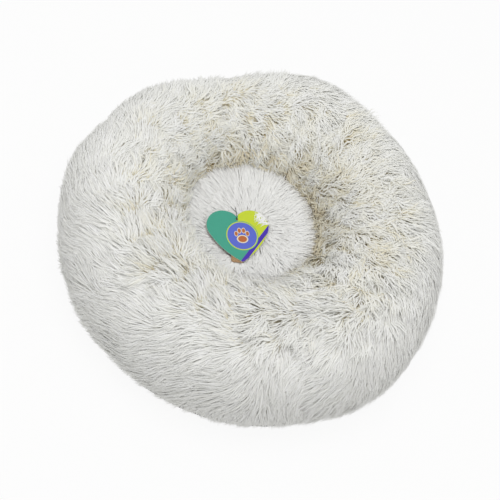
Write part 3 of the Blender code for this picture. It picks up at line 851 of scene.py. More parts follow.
        # The tips of a lock draw together and wave together
        for size_share, gather_share, waves in self.LOCKS:
            size = add("Math:MULTIPLY", given["Lock"], size_share)
            size = add("Math:DIVIDE", 1.0, size)
            cell = add("TexVoronoi", {"Vector": root, "Scale": size}, output="Position")
            pull = lain(add("VectorMath:SUBTRACT", cell, root))
            strength = add("Math:MULTIPLY", given["Gather"], gather_share)
            strength = add("Math:MULTIPLY", add("Math:MULTIPLY", strength, square), read["draw"])
            path = moved(path, pull, strength)
            phase = add("Math:ADD", cell.node.outputs["Color"], add("Math:MULTIPLY", sway, 0.12))
            swing = add("Math:MULTIPLY_ADD", along, waves, phase)
            swing = add("Math:SINE", add("Math:MULTIPLY", swing, 2 * math.pi))
            swing = add("Math:MULTIPLY", add("Math:MULTIPLY", swing, along), given["Wave"])
            path = moved(path, side, add("Math:MULTIPLY", swing, wild))

        # Its girth stands square to its own way, and it stays above the floor
        out = add("SeparateXYZ", read["section"])
        up = out.node.outputs[1]
        thin = add("VectorMath:SUBTRACT", add(
            "VectorMath:SCALE", {0: rise, 3: add("Math:MULTIPLY_ADD", along, 2 * 0.6, 0.4)}
        ), add("VectorMath:SCALE", {0: flow, 3: climb}))
        thin = add("VectorMath:NORMALIZE", thin)
        girth = moved(add("VectorMath:SCALE", {0: side, 3: out}), thin, up)
        split = add("SeparateXYZ", moved(path, girth, width))
        least = add("Math:MULTIPLY", add("Math:ADD", up, 1.0), width)
        least = add("Math:ADD", given["Floor"], least)
        level = add("Math:MAXIMUM", split.node.outputs[2], least)
        path = add("CombineXYZ", split, split.node.outputs[1], level)
        grown = add("GeometryNodeSetPosition", {"Geometry": grown, "Position": path})

        # Across the map is the level of dye and painted shade and the strand's tone, and along it is
        # root to tip
        dye_and_shade_level = add("Math:FLOOR", add("Math:ADD", read["tint"], read["tone"]))
        dye_and_shade_level = add("Math:MINIMUM", add("Math:MAXIMUM", dye_and_shade_level, 0.0), 4.0)
        speck = add("Math:ADD", add("Math:MULTIPLY", bend[2], 0.42), 0.5)
        speck = add("Math:ADD", speck, add("Math:MULTIPLY", out, 0.05))
        across = add("Math:MULTIPLY", add("Math:ADD", dye_and_shade_level, speck), 0.2)
        spot = add("CombineXYZ", across, add("Math:MULTIPLY_ADD", along, 0.96, 0.02), 0.0)
        grown = add(
            "GeometryNodeStoreNamedAttribute",
            {"Geometry": grown, "Name": BAKE_MAP, "Value": spot}, data_type="FLOAT2", domain="CORNER",
        )
        grown = add("GeometryNodeSetMaterial", {"Geometry": grown, "Material": given["Material"]})
        add("NodeGroupOutput", grown)
        return graph.tree


@dataclass
class Pile:
    """One kind of pile: its strand, the least distance between roots, and a strand's width."""

    strand: bpy.types.Object
    spacing: float
    width: float


@dataclass
class FurCloth:
    """A backing and the pile that grows on it."""

    tree: bpy.types.NodeTree
    straight: Pile
    wavy: Pile
    material: bpy.types.Material
    comb: Comb
    lock: float = 17 * MM
    # How far a lock's tips draw together, a strand bends aside and it sags, as shares
    gather: float = 0.42
    curl: float = 0.2
    sag: float = 0.10
    wave: float = 2.2 * MM
    # The least height of a strand over the floor, and of the faces that it grows on
    floor: float = 0.4 * MM
    foot: float = 4 * MM

    def scalp(self, backing: bpy.types.Object, keep: Array, hang: Hang) -> bpy.types.Object:
        """Copy some faces of a backing and mark how the pile lies on them.

        Args:
            backing: The backing's object.
            keep: Whether each face is kept.
            hang: How the pile lies.

        Returns:
            A hidden object that the pile grows on.
        """
        work = bmesh.new()
        work.from_mesh(backing.data)
        work.faces.ensure_lookup_table()
        dropped = [face for face, kept in zip(work.faces, keep) if not kept]
        bmesh.ops.delete(work, geom=dropped, context="FACES")
        mesh = bpy.data.meshes.new("scalp")
        work.to_mesh(mesh)
        work.free()
        mesh.materials.clear()
        places, upward = coordinates(mesh), normals(mesh)
        lay = self.comb.ring if hang is Hang.RING else self.comb.cushion
        pile = lay(places, upward)
        for name, values in pile.items():
            store(mesh, name, values)
        return new_object("scalp", mesh)

    def grow(self, name: str, scalp: bpy.types.Object, pile: Pile, seed: int) -> bpy.types.Object:
        """Grow the pile on a scalp as a plain mesh.

        Args:
            name: The piece's name.
            scalp: The marked faces.
            pile: The kind of pile.
            seed: Seed of the strands' places and shapes.

        Returns:
            The pile's object.
        """
        mesh = run_tree(scalp, self.tree, {
            "Strand": pile.strand, "Material": self.material, "Spacing": pile.spacing,
            "Width": pile.width, "Lock": self.lock, "Gather": self.gather, "Curl": self.curl,
            "Wave": self.wave, "Sag": self.sag, "Floor": self.floor, "Seed": seed,
        }, name)
        mesh.shade_flat()
        return new_object(name, mesh)


@dataclass
class Bolster:
    """The stuffed ring: its fur cloth and its filling."""

    cloth: FurCloth
    backing_finish: bpy.types.Material
    sectors: int = 9
    # Room over the zip and beside it
    zip_room: float = 9.5 * MM
    zip_side: float = 4 * MM
    wall_fill: float = 3 * MM
    # Headings round the bed, in degrees, and how far the wall's foot comes in there, in millimetres
    foot_fills: tuple[tuple[float, float], ...] = (
        (0, 37), (27, 40), (60, 38), (90, 36), (117, 36), (150, 33), (180, 32), (207, 36), (250, 42),
        (297, 46), (335, 54), (360, 37),
    )
    wall_top: float = 165 * MM
    wall_slope: float = 110 * MM
    shoulder: float = 120 * MM
    shoulder_height: float = 40 * MM
    shoulder_fall: float = 8 * MM
    # The wall leans in most at one heading, in degrees
    slump: float = 13 * MM
    slump_heading: float = 204.0
    slump_spread: float = 0.8
    # Headings round the bed, in degrees, and how far the outer side stands out there, in millimetres
    rim_trims: tuple[tuple[float, float], ...] = (
        (0, 1), (27, 2), (55, -1), (76, -5), (88, 5), (98, 4), (117, -9), (142, -5), (157, 4), (174, -6),
        (189, 5), (207, 1), (240, 3), (267, -2), (290, -2), (306, -7), (325, 4), (340, 4), (360, 1),
    )
    dip_share: float = 0.8
    # How far the backing leans towards the well where the wavy pile starts, in degrees
    curls_from: float = -10.0
    foot: float = 1.9 * MM
    # The base and the zip lie against the underside, which has no pile: how far faces that have
    # it may look down, on the outer side and on the inner one
    outer_edge: float = -0.8
    inner_edge: float = -0.3

    def build(self) -> None:
        """Build the ring."""
        backing = cad_copy("bolster_filling", "bolster_backing")
        Padding().swell(backing)
        self.trim_rim(backing)
        self.fill_wall(backing)
        self.dip_tufts(backing)
        self.clear_zip(backing)
        dress(backing, self.backing_finish)
        middles, directions = face_centres(backing.data)
        grows = (middles[:, 2] > self.cloth.foot) & (directions[:, 2] > self.outer_edge)
        here = sector(middles, self.sectors)
        level = np.arcsin(np.clip(-(directions * outwards(middles)).sum(1), -1, 1))
        inner = np.degrees(level) > self.curls_from
        grows &= ~(inner & (directions[:, 2] < self.inner_edge))
        for number in range(self.sectors):
            for word, faces, pile in (
                ("outer", ~inner, self.cloth.straight), ("inner", inner, self.cloth.wavy)
            ):
                scalp = self.cloth.scalp(backing, grows & (here == number) & faces, Hang.RING)
                fur = self.cloth.grow(f"bolster_fur_{word}_{number + 1}", scalp, pile, number + 1)
                settle(fur, "bed", "long_pile_fur_cloth")
        settle(backing, "bed", "long_pile_fur_cloth", "bolster_cover", "bolster_filling")

    def trim_rim(self, backing: bpy.types.Object) -> None:
        """Give the outer side its small bulges and hollows."""
        places, upward = coordinates(backing.data), normals(backing.data)
        outward = outwards(places)
        trim = MM * np.interp(heading(places), *zip(*self.rim_trims))
        trim *= np.clip((upward * outward).sum(1), 0, 1)
        set_coordinates(backing.data, places + outward * trim[:, None])

    def fill_wall(self, backing: bpy.types.Object) -> None:
        """Push the inner wall out towards the cushion."""
        places, upward = coordinates(backing.data), normals(backing.data)
        facing = np.clip(-(upward * outwards(places)).sum(1) - 0.1, 0, 1)
        turn = heading(places)
        slumped = self.slump * lobe(np.radians(turn - self.slump_heading), self.slump_spread)
        low = past(places[:, 2], self.wall_top, -self.wall_slope)
        high = past(places[:, 2], self.shoulder, self.shoulder_height)
        fill = self.wall_fill + MM * np.interp(turn, *zip(*self.foot_fills)) * low + slumped
        fill -= self.shoulder_fall * high
        places += upward * (facing * fill)[:, None]
        places[:, 2] = np.maximum(places[:, 2], self.foot)
        set_coordinates(backing.data, places)

    def dip_tufts(self, backing: bpy.types.Object) -> None:
        """Let the backing dip between the tufts."""
        places, upward = coordinates(backing.data), normals(backing.data)
        tufts = self.cloth.comb.tufts
        dip = self.dip_share * tufts.depth * tufts.share(places, upward)
        places -= upward * dip[:, None]
        places[:, 2] = np.maximum(places[:, 2], self.foot)
        set_coordinates(backing.data, places)

    def clear_zip(self, backing: bpy.types.Object) -> None:
        """Keep the ring's underside clear of the zip."""
        places = coordinates(backing.data)
        inside = near_zip(places, self.zip_side) & (places[:, 2] < self.zip_room)
        places[inside, 2] = self.zip_room
        set_coordinates(backing.data, places)


@dataclass
class Cushion:
    """The low round cushion: its fur cloth and its filling."""

    cloth: FurCloth
    backing_finish: bpy.types.Material
    sectors: int = 3
    side_fill: float = 5 * MM
    top_fill: float = 2.5 * MM
    # The rim rides up on the ring, most on its open side
    rim_start: float = 60 * MM
    rim_width: float = 50 * MM
    rim_lift: float = 14 * MM
    open_lift: float = 24 * MM
    foot: float = 1.9 * MM
    # How far the top's points and the faces with pile may look down
    under: float = -0.3
    pile_edge: float = -0.25

    def build(self) -> None:
        """Build the cushion."""
        backing = cad_copy("cushion_filling", "cushion_backing")
        Padding(cap=4 * MM).swell(backing)
        places, upward = coordinates(backing.data), normals(backing.data)
        top = upward[:, 2] > self.under
        side = np.linalg.norm(upward[:, :2], axis=1) * top
        places += upward * (side * self.side_fill)[:, None]
        flat = places[:, :2] - np.array(self.cloth.comb.well)
        rim = past(np.linalg.norm(flat, axis=1), self.rim_start, self.rim_width)
        lift = self.rim_lift + self.open_lift * self.cloth.comb.openness(flat)
        places[:, 2] += (lift * rim + self.top_fill) * top
        places[:, 2] = np.maximum(places[:, 2], self.foot)
        set_coordinates(backing.data, places)
        dress(backing, self.backing_finish)
        middles, directions = face_centres(backing.data)
        grows = directions[:, 2] > self.pile_edge
        here = sector(middles, self.sectors)
        for number in range(self.sectors):
            scalp = self.cloth.scalp(backing, grows & (here == number), Hang.CUSHION)
            fur = self.cloth.grow(f"cushion_fur_{number + 1}", scalp, self.cloth.straight, 21 + number)
            TagBed().press(fur)
            settle(fur, "bed", "long_pile_fur_cloth")
        settle(TagBed().drape(backing, self.cloth), "bed", "long_pile_fur_cloth")
        settle(backing, "bed", "long_pile_fur_cloth", "cushion_cover", "cushion_filling")


class TagFrame:
    """The tag's own frame: its origin in the hole's middle, X towards the tip, Y to its right."""

    HOLE = (-0.0357, -0.0020)
    HEADING = math.radians(-58.7)

    @classmethod
    def place(cls, graph: Graph) -> Any:
        """Add nodes that give a point's place in the tag's frame."""
        point = graph.add("TexCoord", output="Object")
        hole, turn = (*cls.HOLE, 0.0), (0.0, 0.0, cls.HEADING)
        return graph.add("Mapping", point, hole, turn, vector_type="TEXTURE")

    @classmethod
    def spot(cls, along: float, across: float) -> Array:
        """Turn (along, across) in the tag's frame into a point on the floor under it."""
        c, s = math.cos(cls.HEADING), math.sin(cls.HEADING)
        x, y = cls.HOLE
        return np.array([x + along * c - across * s, y + along * s + across * c, 0.0])

    @classmethod
    def flat(cls, places: Array) -> Array:
        """Turn points on the bed into (along, across) in the tag's frame."""
        c, s = math.cos(cls.HEADING), math.sin(cls.HEADING)
        x, y = places[:, 0] - cls.HOLE[0], places[:, 1] - cls.HOLE[1]
        return np.stack([x * c + y * s, y * c - x * s], 1)


@dataclass
class TagBed:
    """The pile under the tag, which is pressed down by it."""

    # Under the tag, how softly the pile gives way, and how it rises again beside it
    room: float = 1.1 * MM
    softness: float = 2.2 * MM
    bank: float = 0.6
    # The edge of the tag's hole is left out of its outline
    hole_room: float = 6 * MM
    # Where a few strands lie over the card: along, across
    stray_middle: tuple[float, float] = (-4 * MM, 44 * MM)
    stray_reach: float = 16 * MM
    stray_aim: tuple[float, float] = (4 * MM, 28 * MM)
    stray_length: float = 22 * MM
    stray_room: float = 0.4 * MM
    card_room: float = 1.5 * MM

    def outline(self, node: str) -> Array:
        """The outline of a flat node in the tag's frame, in order."""
        flat = TagFrame.flat(coordinates(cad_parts[node].data))
        middle = (flat.max(0) + flat.min(0)) / 2
        turn = np.arctan2(*(flat - middle).T[::-1])
        away = np.linalg.norm(flat - middle, axis=1)
        outer = away > self.hole_room
        order = np.argsort(turn[outer])
        return flat[outer][order]

    def beyond(self, flat: Array, outline: Array) -> Array:
        """How far points lie outside an outline, and 0 inside it."""
        inside = np.zeros(len(flat), bool)
        least = np.full(len(flat), 1.0)
        for start, end in zip(outline, np.roll(outline, -1, 0)):
            edge = end - start
            length = float(edge @ edge)
            if length < 1e-12:
                continue
            share = np.clip((flat - start) @ edge / length, 0, 1)
            least = np.minimum(least, np.linalg.norm(flat - start - share[:, None] * edge, axis=1))
            crosses = (start[1] > flat[:, 1]) != (end[1] > flat[:, 1])
            if crosses.any():
                at = start[0] + (flat[:, 1] - start[1]) / (end[1] - start[1]) * edge[0]
                inside ^= crosses & (flat[:, 0] < at)
        return np.where(inside, 0.0, least)

    def press(self, fur: bpy.types.Object) -> None:
        """Press the pile under the card and the leaf."""
        places = coordinates(fur.data)
        flat = TagFrame.flat(places)
        for node in ("tag_card", "tag_leaf"):
            away = np.maximum(self.beyond(flat, self.outline(node)) - MM, 0)
            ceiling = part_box(node)[0].z - self.room + self.bank * away
            start = ceiling - self.softness
            over = np.maximum(places[:, 2] - start, 0) / self.softness
            pressed = start + self.softness * (1 - np.exp(-over))
            places[:, 2] = np.where(over > 0, pressed, places[:, 2])
        set_coordinates(fur.data, places)

    def drape(self, backing: bpy.types.Object, cloth: FurCloth) -> bpy.types.Object:
        """Grow a few strands that lie over the card's edge.

        Args:
            backing: The cushion's backing.
            cloth: The cushion's fur cloth.

        Returns:
            The strands' object.
        """
        card = self.outline("tag_card")
        middles, directions = face_centres(backing.data)
        flat = TagFrame.flat(middles)
        near = np.linalg.norm(flat - self.stray_middle, axis=1) < self.stray_reach
        keep = near & (self.beyond(flat, card) > self.card_room) & (directions[:, 2] > 0.5)
        scalp = cloth.scalp(backing, keep, Hang.CUSHION)
        places, upward = coordinates(scalp.data), normals(scalp.data)
        flow = (TagFrame.spot(*self.stray_aim) - places) * (1, 1, 0)
        flow = unit(flow - upward * (flow * upward).sum(1)[:, None])
        store(scalp.data, "comb", flow)
        for name, value in (("length", self.stray_length), ("loft", 0.9), ("wild", 1.4), ("cover", 0.7)):
            store(scalp.data, name, np.full(len(places), value))
        fur = cloth.grow("cushion_fur_strays", scalp, cloth.straight, 31)
        places = coordinates(fur.data)
        away = np.maximum(self.beyond(TagFrame.flat(places), card) - MM, 0)
        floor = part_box("tag_card")[1].z + self.stray_room - 2 * away
        # A strand is lifted ring by ring, so that it keeps its thickness
        points = FurTree.SIDES * len(FurTree.STRAIGHT) + 1
        lift = np.maximum(floor - places[:, 2], 0).reshape(-1, points)
        rings = lift[:, :-1].reshape(len(lift), -1, FurTree.SIDES)
        rings[:] = rings.max(2, keepdims=True)
        places[:, 2] += lift.ravel()
        set_coordinates(fur.data, places)
        return fur


@dataclass(frozen=True)
class PrintedCardFinish:
    """Coated card, offset printed: even flat inks under a satin varnish, white at its cut edge.

    Its plain print is a two-coloured ground, a round spot with a paw mark and an edge stripe.
    """

    left_ink: str = "3FA88E"
    right_ink: str = "CFE02A"
    spot_ink: str = "5A6CD6"
    stripe_ink: str = "4422B4"
    mark_ink: str = "C06A30"
    light_ink: str = "F6EBCB"
    core: str = "ECE9E0"
    spot_middle: tuple[float, float] = (28 * MM, 4.5 * MM)
    spot_radius: float = 22.6 * MM
    # How far two rings stand out round the spot
    spot_rings: tuple[float, float] = (2.4 * MM, 1.5 * MM)
    # Pads of the paw mark: along, across, half length, half width
    pads: tuple[tuple[float, float, float, float], ...] = (
        (33.5, 4.5, 6.8, 8.7), (24.5, -4.2, 4.5, 3.0), (19.4, 1.2, 4.8, 3.1), (19.4, 7.8, 4.8, 3.1),
        (24.5, 13.2, 4.5, 3.0),
    )
    stripe_normal: tuple[float, float] = (0.649, 0.761)
    stripe_from: float = 43.0 * MM
    stripe_to: float = 49.6 * MM
    # How soft an ink's edge is
    bleed: float = 0.15 * MM
    grain: float = 0.8 * MM

    def build(self) -> bpy.types.Material:
        """Make the material."""
        surface = Surface("coated_card_offset_printed")
        add = surface.add
        point = TagFrame.place(surface)
        along = add("SeparateXYZ", point)
        # The ground's two colours meet along a bowed line that turns off near the tip
        bow = add("Math:SINE", add("Math:MULTIPLY", along, 40.0))
        edge = add("Math:MULTIPLY_ADD", bow, 3 * MM, along.node.outputs[1])
        below = add("MapRange", along, 34 * MM, 64 * MM, 0.0, 36 * MM)
        edge = add("Math:SUBTRACT", edge, below)
        stripe = add("VectorMath:DOT_PRODUCT", point, (*self.stripe_normal, 0.0), output="Value")
        away = add("VectorMath:SUBTRACT", point, (*self.spot_middle, 0.0))
        away = add("VectorMath:MULTIPLY", away, (1.0, 1.0, 0.0))
        away = add("VectorMath:LENGTH", away, output="Value")
        nearest = None
        for a, c, half_length, half_width in self.pads:
            pad = add(
                "Mapping", point, (a * MM, c * MM, 0.0), (0.0, 0.0, 0.0),
                (half_length * MM, half_width * MM, 1.0), vector_type="TEXTURE",
            )
            pad = add("VectorMath:MULTIPLY", pad, (1.0, 1.0, 0.0))
            pad = add("VectorMath:LENGTH", pad, output="Value")
            nearest = pad if nearest is None else add("Math:MINIMUM", nearest, pad)
        facing = add("SeparateXYZ", add("TexCoord", output="Normal"), output=2)
        wide, narrow = self.spot_rings
        inner, outer, left, ring, rim, spot, light, mark, core = [
            add("MapRange", value, at - soft, at + soft, 1.0, 0.0)
            for value, at, soft in (
                (stripe, self.stripe_from, self.bleed), (stripe, self.stripe_to, self.bleed),
                (edge, 1.5 * MM, self.bleed), (away, self.spot_radius + wide, self.bleed),
                (away, self.spot_radius + narrow, self.bleed), (away, self.spot_radius, self.bleed),
                (nearest, 1.0, 0.05), (nearest, 0.78, 0.05), (facing, 0.5, 0.05),
            )
        ]
        colour = linear(self.right_ink)
        for share, ink in (
            (add("Math:MULTIPLY", left, inner), self.left_ink),
            (add("Math:SUBTRACT", outer, inner), self.stripe_ink),
            (ring, self.left_ink), (rim, self.right_ink), (spot, self.spot_ink),
            (light, self.light_ink), (mark, self.mark_ink), (core, self.core),
        ):
            colour = add("Mix", {0: share, 6: colour, 7: linear(ink)}, output=2, data_type="RGBA")
        grain = add("TexNoise", {0: point, 2: 1 / self.grain, 3: 2.0})
        bump = add("Bump", {"Strength": 0.08, "Distance": 0.1 * MM, "Height": grain})
        return surface.finish({
            "Base Color": colour, "Normal": bump, "Roughness": 0.38, "Coat Weight": 0.15,
        })


@dataclass(frozen=True)
class KraftFinish:
    """Uncoated kraft paper: matt brown with long pale and dark fibres."""

    colours: tuple[tuple[float, str], ...] = ((0.3, "8A6B4C"), (0.5, "B08D67"), (0.72, "C9A981"))
    fibre_length: float = 3 * MM

    def build(self) -> bpy.types.Material:
        """Make the material."""
        surface = Surface("uncoated_kraft_paper")
        add = surface.add
        long = add("VectorMath:MULTIPLY", TagFrame.place(surface), (1.0, 4.0, 1.0))
        fibre = add("TexNoise", {0: long, 2: 1 / self.fibre_length, 3: 6.0, 4: 0.7})
        bump = add("Bump", {"Strength": 0.3, "Distance": 0.1 * MM, "Height": fibre})
        colour = paint(add("ValToRGB", fibre), self.colours)
        return surface.finish({"Base Color": colour, "Normal": bump, "Roughness": 0.85})


class Weave(Enum):
    """How a flat cloth is woven."""

    PLAIN = "plain"
    HERRINGBONE = "herringbone"


@dataclass(frozen=True)
class WovenFinish:
    """Woven polyester: matt threads over and under each other, with a faint sheen."""

    name: str
    dark: str
    light: str
    # The real thread is about 0.4 mm; it is drawn as coarse as it has to be to show
    thread: float = 1.1 * MM
    weave: Weave = Weave.PLAIN
    # The ridge that a wave node's scale of 1 gives
    ridge: float = 0.314

    def build(self) -> bpy.types.Material:
        """Make the material."""
        surface = Surface(self.name)
        add = surface.add
        turn = 0.0 if self.weave is Weave.PLAIN else math.pi / 4
        point = add("Mapping", add("TexCoord", output="Object"), None, (0.0, 0.0, turn))
        waves = [
            add("TexWave", {0: point, 1: self.ridge / self.thread, 2: 0.4}, output=1,
                wave_type="BANDS", bands_direction=axis)
            for axis in ("X", "Y")
        ]
        mixed = add("Math:MULTIPLY", *waves)
        # Darker where the threads dip under each other: painted shade between the threads
        colour = paint(add("ValToRGB", mixed), [(0.0, self.dark), (0.8, self.light)])
        bump = add("Bump", {"Strength": 0.5, "Distance": 0.2 * MM, "Height": mixed})
        return surface.finish({
            "Base Color": colour, "Normal": bump, "Roughness": 0.8, "Sheen Weight": 0.15,
        })


@dataclass(frozen=True)
class SpeckledFinish:
    """A solid material whose colour and gloss vary a little over its surface."""

    name: str
    dark: str
    light: str
    grain: float
    roughness: float
    metallic: float = 0.0
    bump: float = 0.1

    def build(self) -> bpy.types.Material:
        """Make the material."""
        surface = Surface(self.name)
        add = surface.add
        speck = add("TexNoise", {0: add("TexCoord", output="Object"), 2: 1 / self.grain, 3: 3.0})
        colour = paint(add("ValToRGB", speck), [(0.3, self.dark), (0.7, self.light)])
        bump = add("Bump", {"Strength": self.bump, "Distance": 0.1 * MM, "Height": speck})
        return surface.finish({
            "Base Color": colour, "Normal": bump, "Roughness": self.roughness,
            "Metallic": self.metallic,
        })


@dataclass
class RepeatTree:
    """The Geometry Nodes tree that sets one small item on each of many points."""

    def build(self) -> bpy.types.NodeTree:
        """Make the tree."""
        kinds = {"Points": "Geometry", "Item": "Object", "Material": "Material"}
        graph, given = new_tree("repeat", kinds)
        add = graph.add
        item = add("GeometryNodeObjectInfo", {"Object": given["Item"]}, output="Geometry")
        turn = add("GeometryNodeInputNamedAttribute", "turn", data_type="FLOAT")
        turn = add("CombineXYZ", 0.0, 0.0, turn)
        points = add("GeometryNodeMeshToPoints", given["Points"])
        made = add(
            "GeometryNodeInstanceOnPoints", {"Points": points, "Instance": item, "Rotation": turn}
        )
        made = add("GeometryNodeRealizeInstances", made)
        made = add("GeometryNodeSetMaterial", {"Geometry": made, "Material": given["Material"]})
        add("NodeGroupOutput", made)
        return graph.tree

    def run(
        self, tree: bpy.types.NodeTree, name: str, item: bpy.types.Object, places: Array,
        turns: Array, material: bpy.types.Material,
    ) -> bpy.types.Object:
        """Set an item on each place and give back one plain mesh.

        Args:
            tree: The tree.
            name: The piece's name.
            item: The item's object, which is removed.
            places: Points.
            turns: The item's turn about Z at each point, in radians.
            material: The items' material.

        Returns:
            The piece's object.
        """
        mesh = bpy.data.meshes.new("points")
        mesh.from_pydata([tuple(p) for p in places], [], [])
        store(mesh, "turn", turns)
        values = {"Item": item, "Material": material}
        result = run_tree(new_object("points", mesh), tree, values, name)
        bpy.data.objects.remove(item, do_unlink=True)
        return new_object(name, result)


def bar_item(length: float, width: float, height: float, sides: int = 6) -> bpy.types.Object:
    """Make a small rounded bar along X, thinner at its ends."""
    return closed_rings("bar", [
        [(place * length, girth * width / 2 * c, girth * height / 2 * s) for c, s in circle(sides)]
        for place, girth in ((-0.5, 0.45), (-0.32, 1.0), (0.32, 1.0), (0.5, 0.45))
    ])


@dataclass
class Base:
    """The woven base cloth with its grip dots and edge stitches."""

    repeat: bpy.types.NodeTree
    lift: float = 0.5 * MM
    dot_pitch: float = 11 * MM
    dot_width: float = 3.6 * MM
    edge_room: float = 16 * MM
    zip_room: float = 6 * MM
    # Half the width of the lattice that the dots are cut from, and the least reach of the edge
    lattice: float = 0.6
    least_reach: float = 0.24
    stitch_pitch: float = 5 * MM
    area: float = 0.236

    def build(self) -> None:
        """Build the base."""
        low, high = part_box("base_cloth")
        cloth = cad_copy("base_cloth", "base_sheet")
        places = coordinates(cloth.data)
        span = high.z - low.z
        places[:, 2] = self.lift + (places[:, 2] - low.z) / span * (span - self.lift)
        set_coordinates(cloth.data, places)
        outline = self.rim(places)
        finish = WovenFinish("plain_woven_polyester", "6F6F70", "A3A3A4").build()
        dress(cloth, finish, smooth=False)
        settle(cloth, "bed", "woven_polyester_base", "base_cloth")
        stitches = self.stitches(outline)
        dots = self.dots(outline)
        settle(stitches, "bed", "woven_polyester_base")
        settle(dots, "bed", "woven_polyester_base")

    def rim(self, places: Array) -> Array:
        """The cloth's outer edge, in order round the bed."""
        far = np.linalg.norm(places[:, :2], axis=1)
        edge = np.unique(places[far > self.least_reach][:, :2].round(5), axis=0)
        return edge[np.argsort(bearing(edge))]

    def reach(self, outline: Array, turn: Array) -> Array:
        """How far the edge is from the middle at some headings."""
        far = np.linalg.norm(outline, axis=1)
        return np.interp(turn, bearing(outline), far, period=2 * math.pi)

    def stitches(self, outline: Array) -> bpy.types.Object:
        """A row of stitches along the edge, on the underside."""
        reach = np.linalg.norm(outline, axis=1).mean()
        number = int(2 * math.pi * reach / self.stitch_pitch)
        turn = np.linspace(-math.pi, math.pi, number, endpoint=False)
        out = self.reach(outline, turn) - self.edge_room / 2
        places = np.stack([out * np.cos(turn), out * np.sin(turn), np.full(number, self.lift)], 1)
        # Bonded thread: off-white and slightly glossy
        thread = SpeckledFinish("bonded_polyester_thread", "D8D6D0", "F0EEE8", 1 * MM, 0.6).build()
        item = bar_item(self.stitch_pitch * 0.72, 0.7 * MM, 0.7 * MM)
        return RepeatTree().run(self.repeat, "base_stitches", item, places, turn + math.pi / 2, thread)

    def dots(self, outline: Array) -> bpy.types.Object:
        """Grip dots in a lattice over the underside, clear of the zip."""
        count = int(self.lattice / self.dot_pitch)
        spots = np.array([
            ((column + 0.5 * (row % 2)) * self.dot_pitch, row * self.dot_pitch * math.sqrt(3) / 2)
            for row in range(-count, count) for column in range(-count, count)
        ])
        far = self.reach(outline, bearing(spots)) - self.edge_room
        inside = np.linalg.norm(spots, axis=1) < far
        spots = spots[inside & ~near_zip(spots, self.zip_room)]
        places = np.column_stack([spots, np.full(len(spots), self.lift)])
        # Moulded soft PVC: nearly black, with a low, even gloss
        rubber = SpeckledFinish("moulded_pvc_grip", "2E2E30", "3C3C3E", 1 * MM, 0.55).build()
        item = closed_rings("dot", [
            [
                (radius * self.dot_width / 2 * c, radius * self.dot_width / 2 * s, drop * self.lift)
                for c, s in circle(8)
            ]
            for radius, drop in ((1.0, 0.1), (0.85, -0.6), (0.4, -0.9))
        ])
        return RepeatTree().run(
            self.repeat, "base_grip_dots", item, places, np.zeros(len(places)), rubber
        )


@dataclass
class Zip:
    """The zip: two tapes with their teeth, stops, slider and pull."""

    repeat: bpy.types.NodeTree
    pitch: float = 1.5 * MM
    tape_flat_width: float = 12.5 * MM
    stitch_pitch: float = 3.2 * MM

    def build(self) -> None:
        """Build the zip."""
        tape_finish = WovenFinish(
            "herringbone_polyester_tape", "B4B2AB", "DEDCD5", 0.9 * MM, Weave.HERRINGBONE
        ).build()
        # Extruded nylon: milky, with a soft gloss
        nylon = SpeckledFinish("extruded_nylon", "C6C4BC", "DAD8D0", 0.8 * MM, 0.35).build()
        # Bright nickel over cast zinc: grey metal with soft, slightly uneven gloss
        nickel = SpeckledFinish(
            "nickel_plated_zinc", "B9B6AE", "CFCCC4", 1.5 * MM, 0.28, 1.0, 0.06
        ).build()
        for node in ("zip_stop_left", "zip_stop_right", "zip_slider", "zip_pull"):
            recolour(node, nickel)
        for word, side in (("front", -1), ("rear", 1)):
            self.tape(word, side, tape_finish)
            self.teeth(word, side, nylon)

    def tape(self, word: str, side: int, finish: bpy.types.Material) -> None:
        """Build one tape with its row of stitches."""
        node = f"zip_tape_{word}"
        low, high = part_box(node)
        tape = cad_copy(node, f"zip_{word}_tape")
        dress(tape, finish, smooth=False)
        settle(tape, "bed", "polyester_tape", node)
        number = int((high.x - low.x) / self.stitch_pitch)
        x = np.linspace(low.x + 2 * MM, high.x - 2 * MM, number)
        outer = low.y if side < 0 else high.y
        places = np.column_stack([
            x, np.full(number, outer - side * 2 * MM), np.full(number, low.z + 0.5 * MM)
        ])
        thread = SpeckledFinish("polyester_sewing_thread", "CFCDC6", "E6E4DD", 1 * MM, 0.6).build()
        item = bar_item(self.stitch_pitch * 0.72, 0.5 * MM, 0.5 * MM)
        row = RepeatTree().run(
            self.repeat, f"zip_{word}_stitches", item, places, np.zeros(number), thread
        )
        settle(row, "bed", "polyester_tape")

    def teeth(self, word: str, side: int, finish: bpy.types.Material) -> None:
        """Build one row of teeth on its core."""
        node = f"zip_coil_{word}"
        low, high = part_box(node)
        number = int((high.x - low.x) / self.pitch) - 1
        x = low.x + self.pitch * (np.arange(number) + (0.75 if side > 0 else 1.25))
        middle_y, middle_z = (low.y + high.y) / 2, (low.z + high.z) / 2
        places = np.column_stack([x, np.full(number, middle_y), np.full(number, middle_z)])
        item = bar_item(high.y - low.y, self.pitch * 0.62, high.z - low.z, 8)
        row = RepeatTree().run(
            self.repeat, f"zip_{word}_teeth", item, places, np.full(number, math.pi / 2), finish
        )
        settle(row, "bed", "nylon_coil", node)
        core = bar_item(high.x - low.x, (high.y - low.y) * 0.4, (high.z - low.z) * 0.5, 10)
        core.data.transform(Matrix.Translation((
            (low.x + high.x) / 2, middle_y + side * (high.y - low.y) * 0.22, middle_z
        )))
        core.name = f"zip_{word}_core"
        dress(core, finish)
        settle(core, "bed", "nylon_coil")


@dataclass
class HangTag:
    """The hang tag: its printed card, its kraft leaf and its cord."""

    def build(self) -> None:
        """Dress the tag's CAD nodes."""
        recolour("tag_card", PrintedCardFinish().build())
        recolour("tag_leaf", KraftFinish().build())
        # Braided elastic: black and matt, with the fine relief of its braid
        elastic = SpeckledFinish("braided_elastic", "141414", "2C2C2C", 0.5 * MM, 0.7).build()
        recolour("tag_loop", elastic)


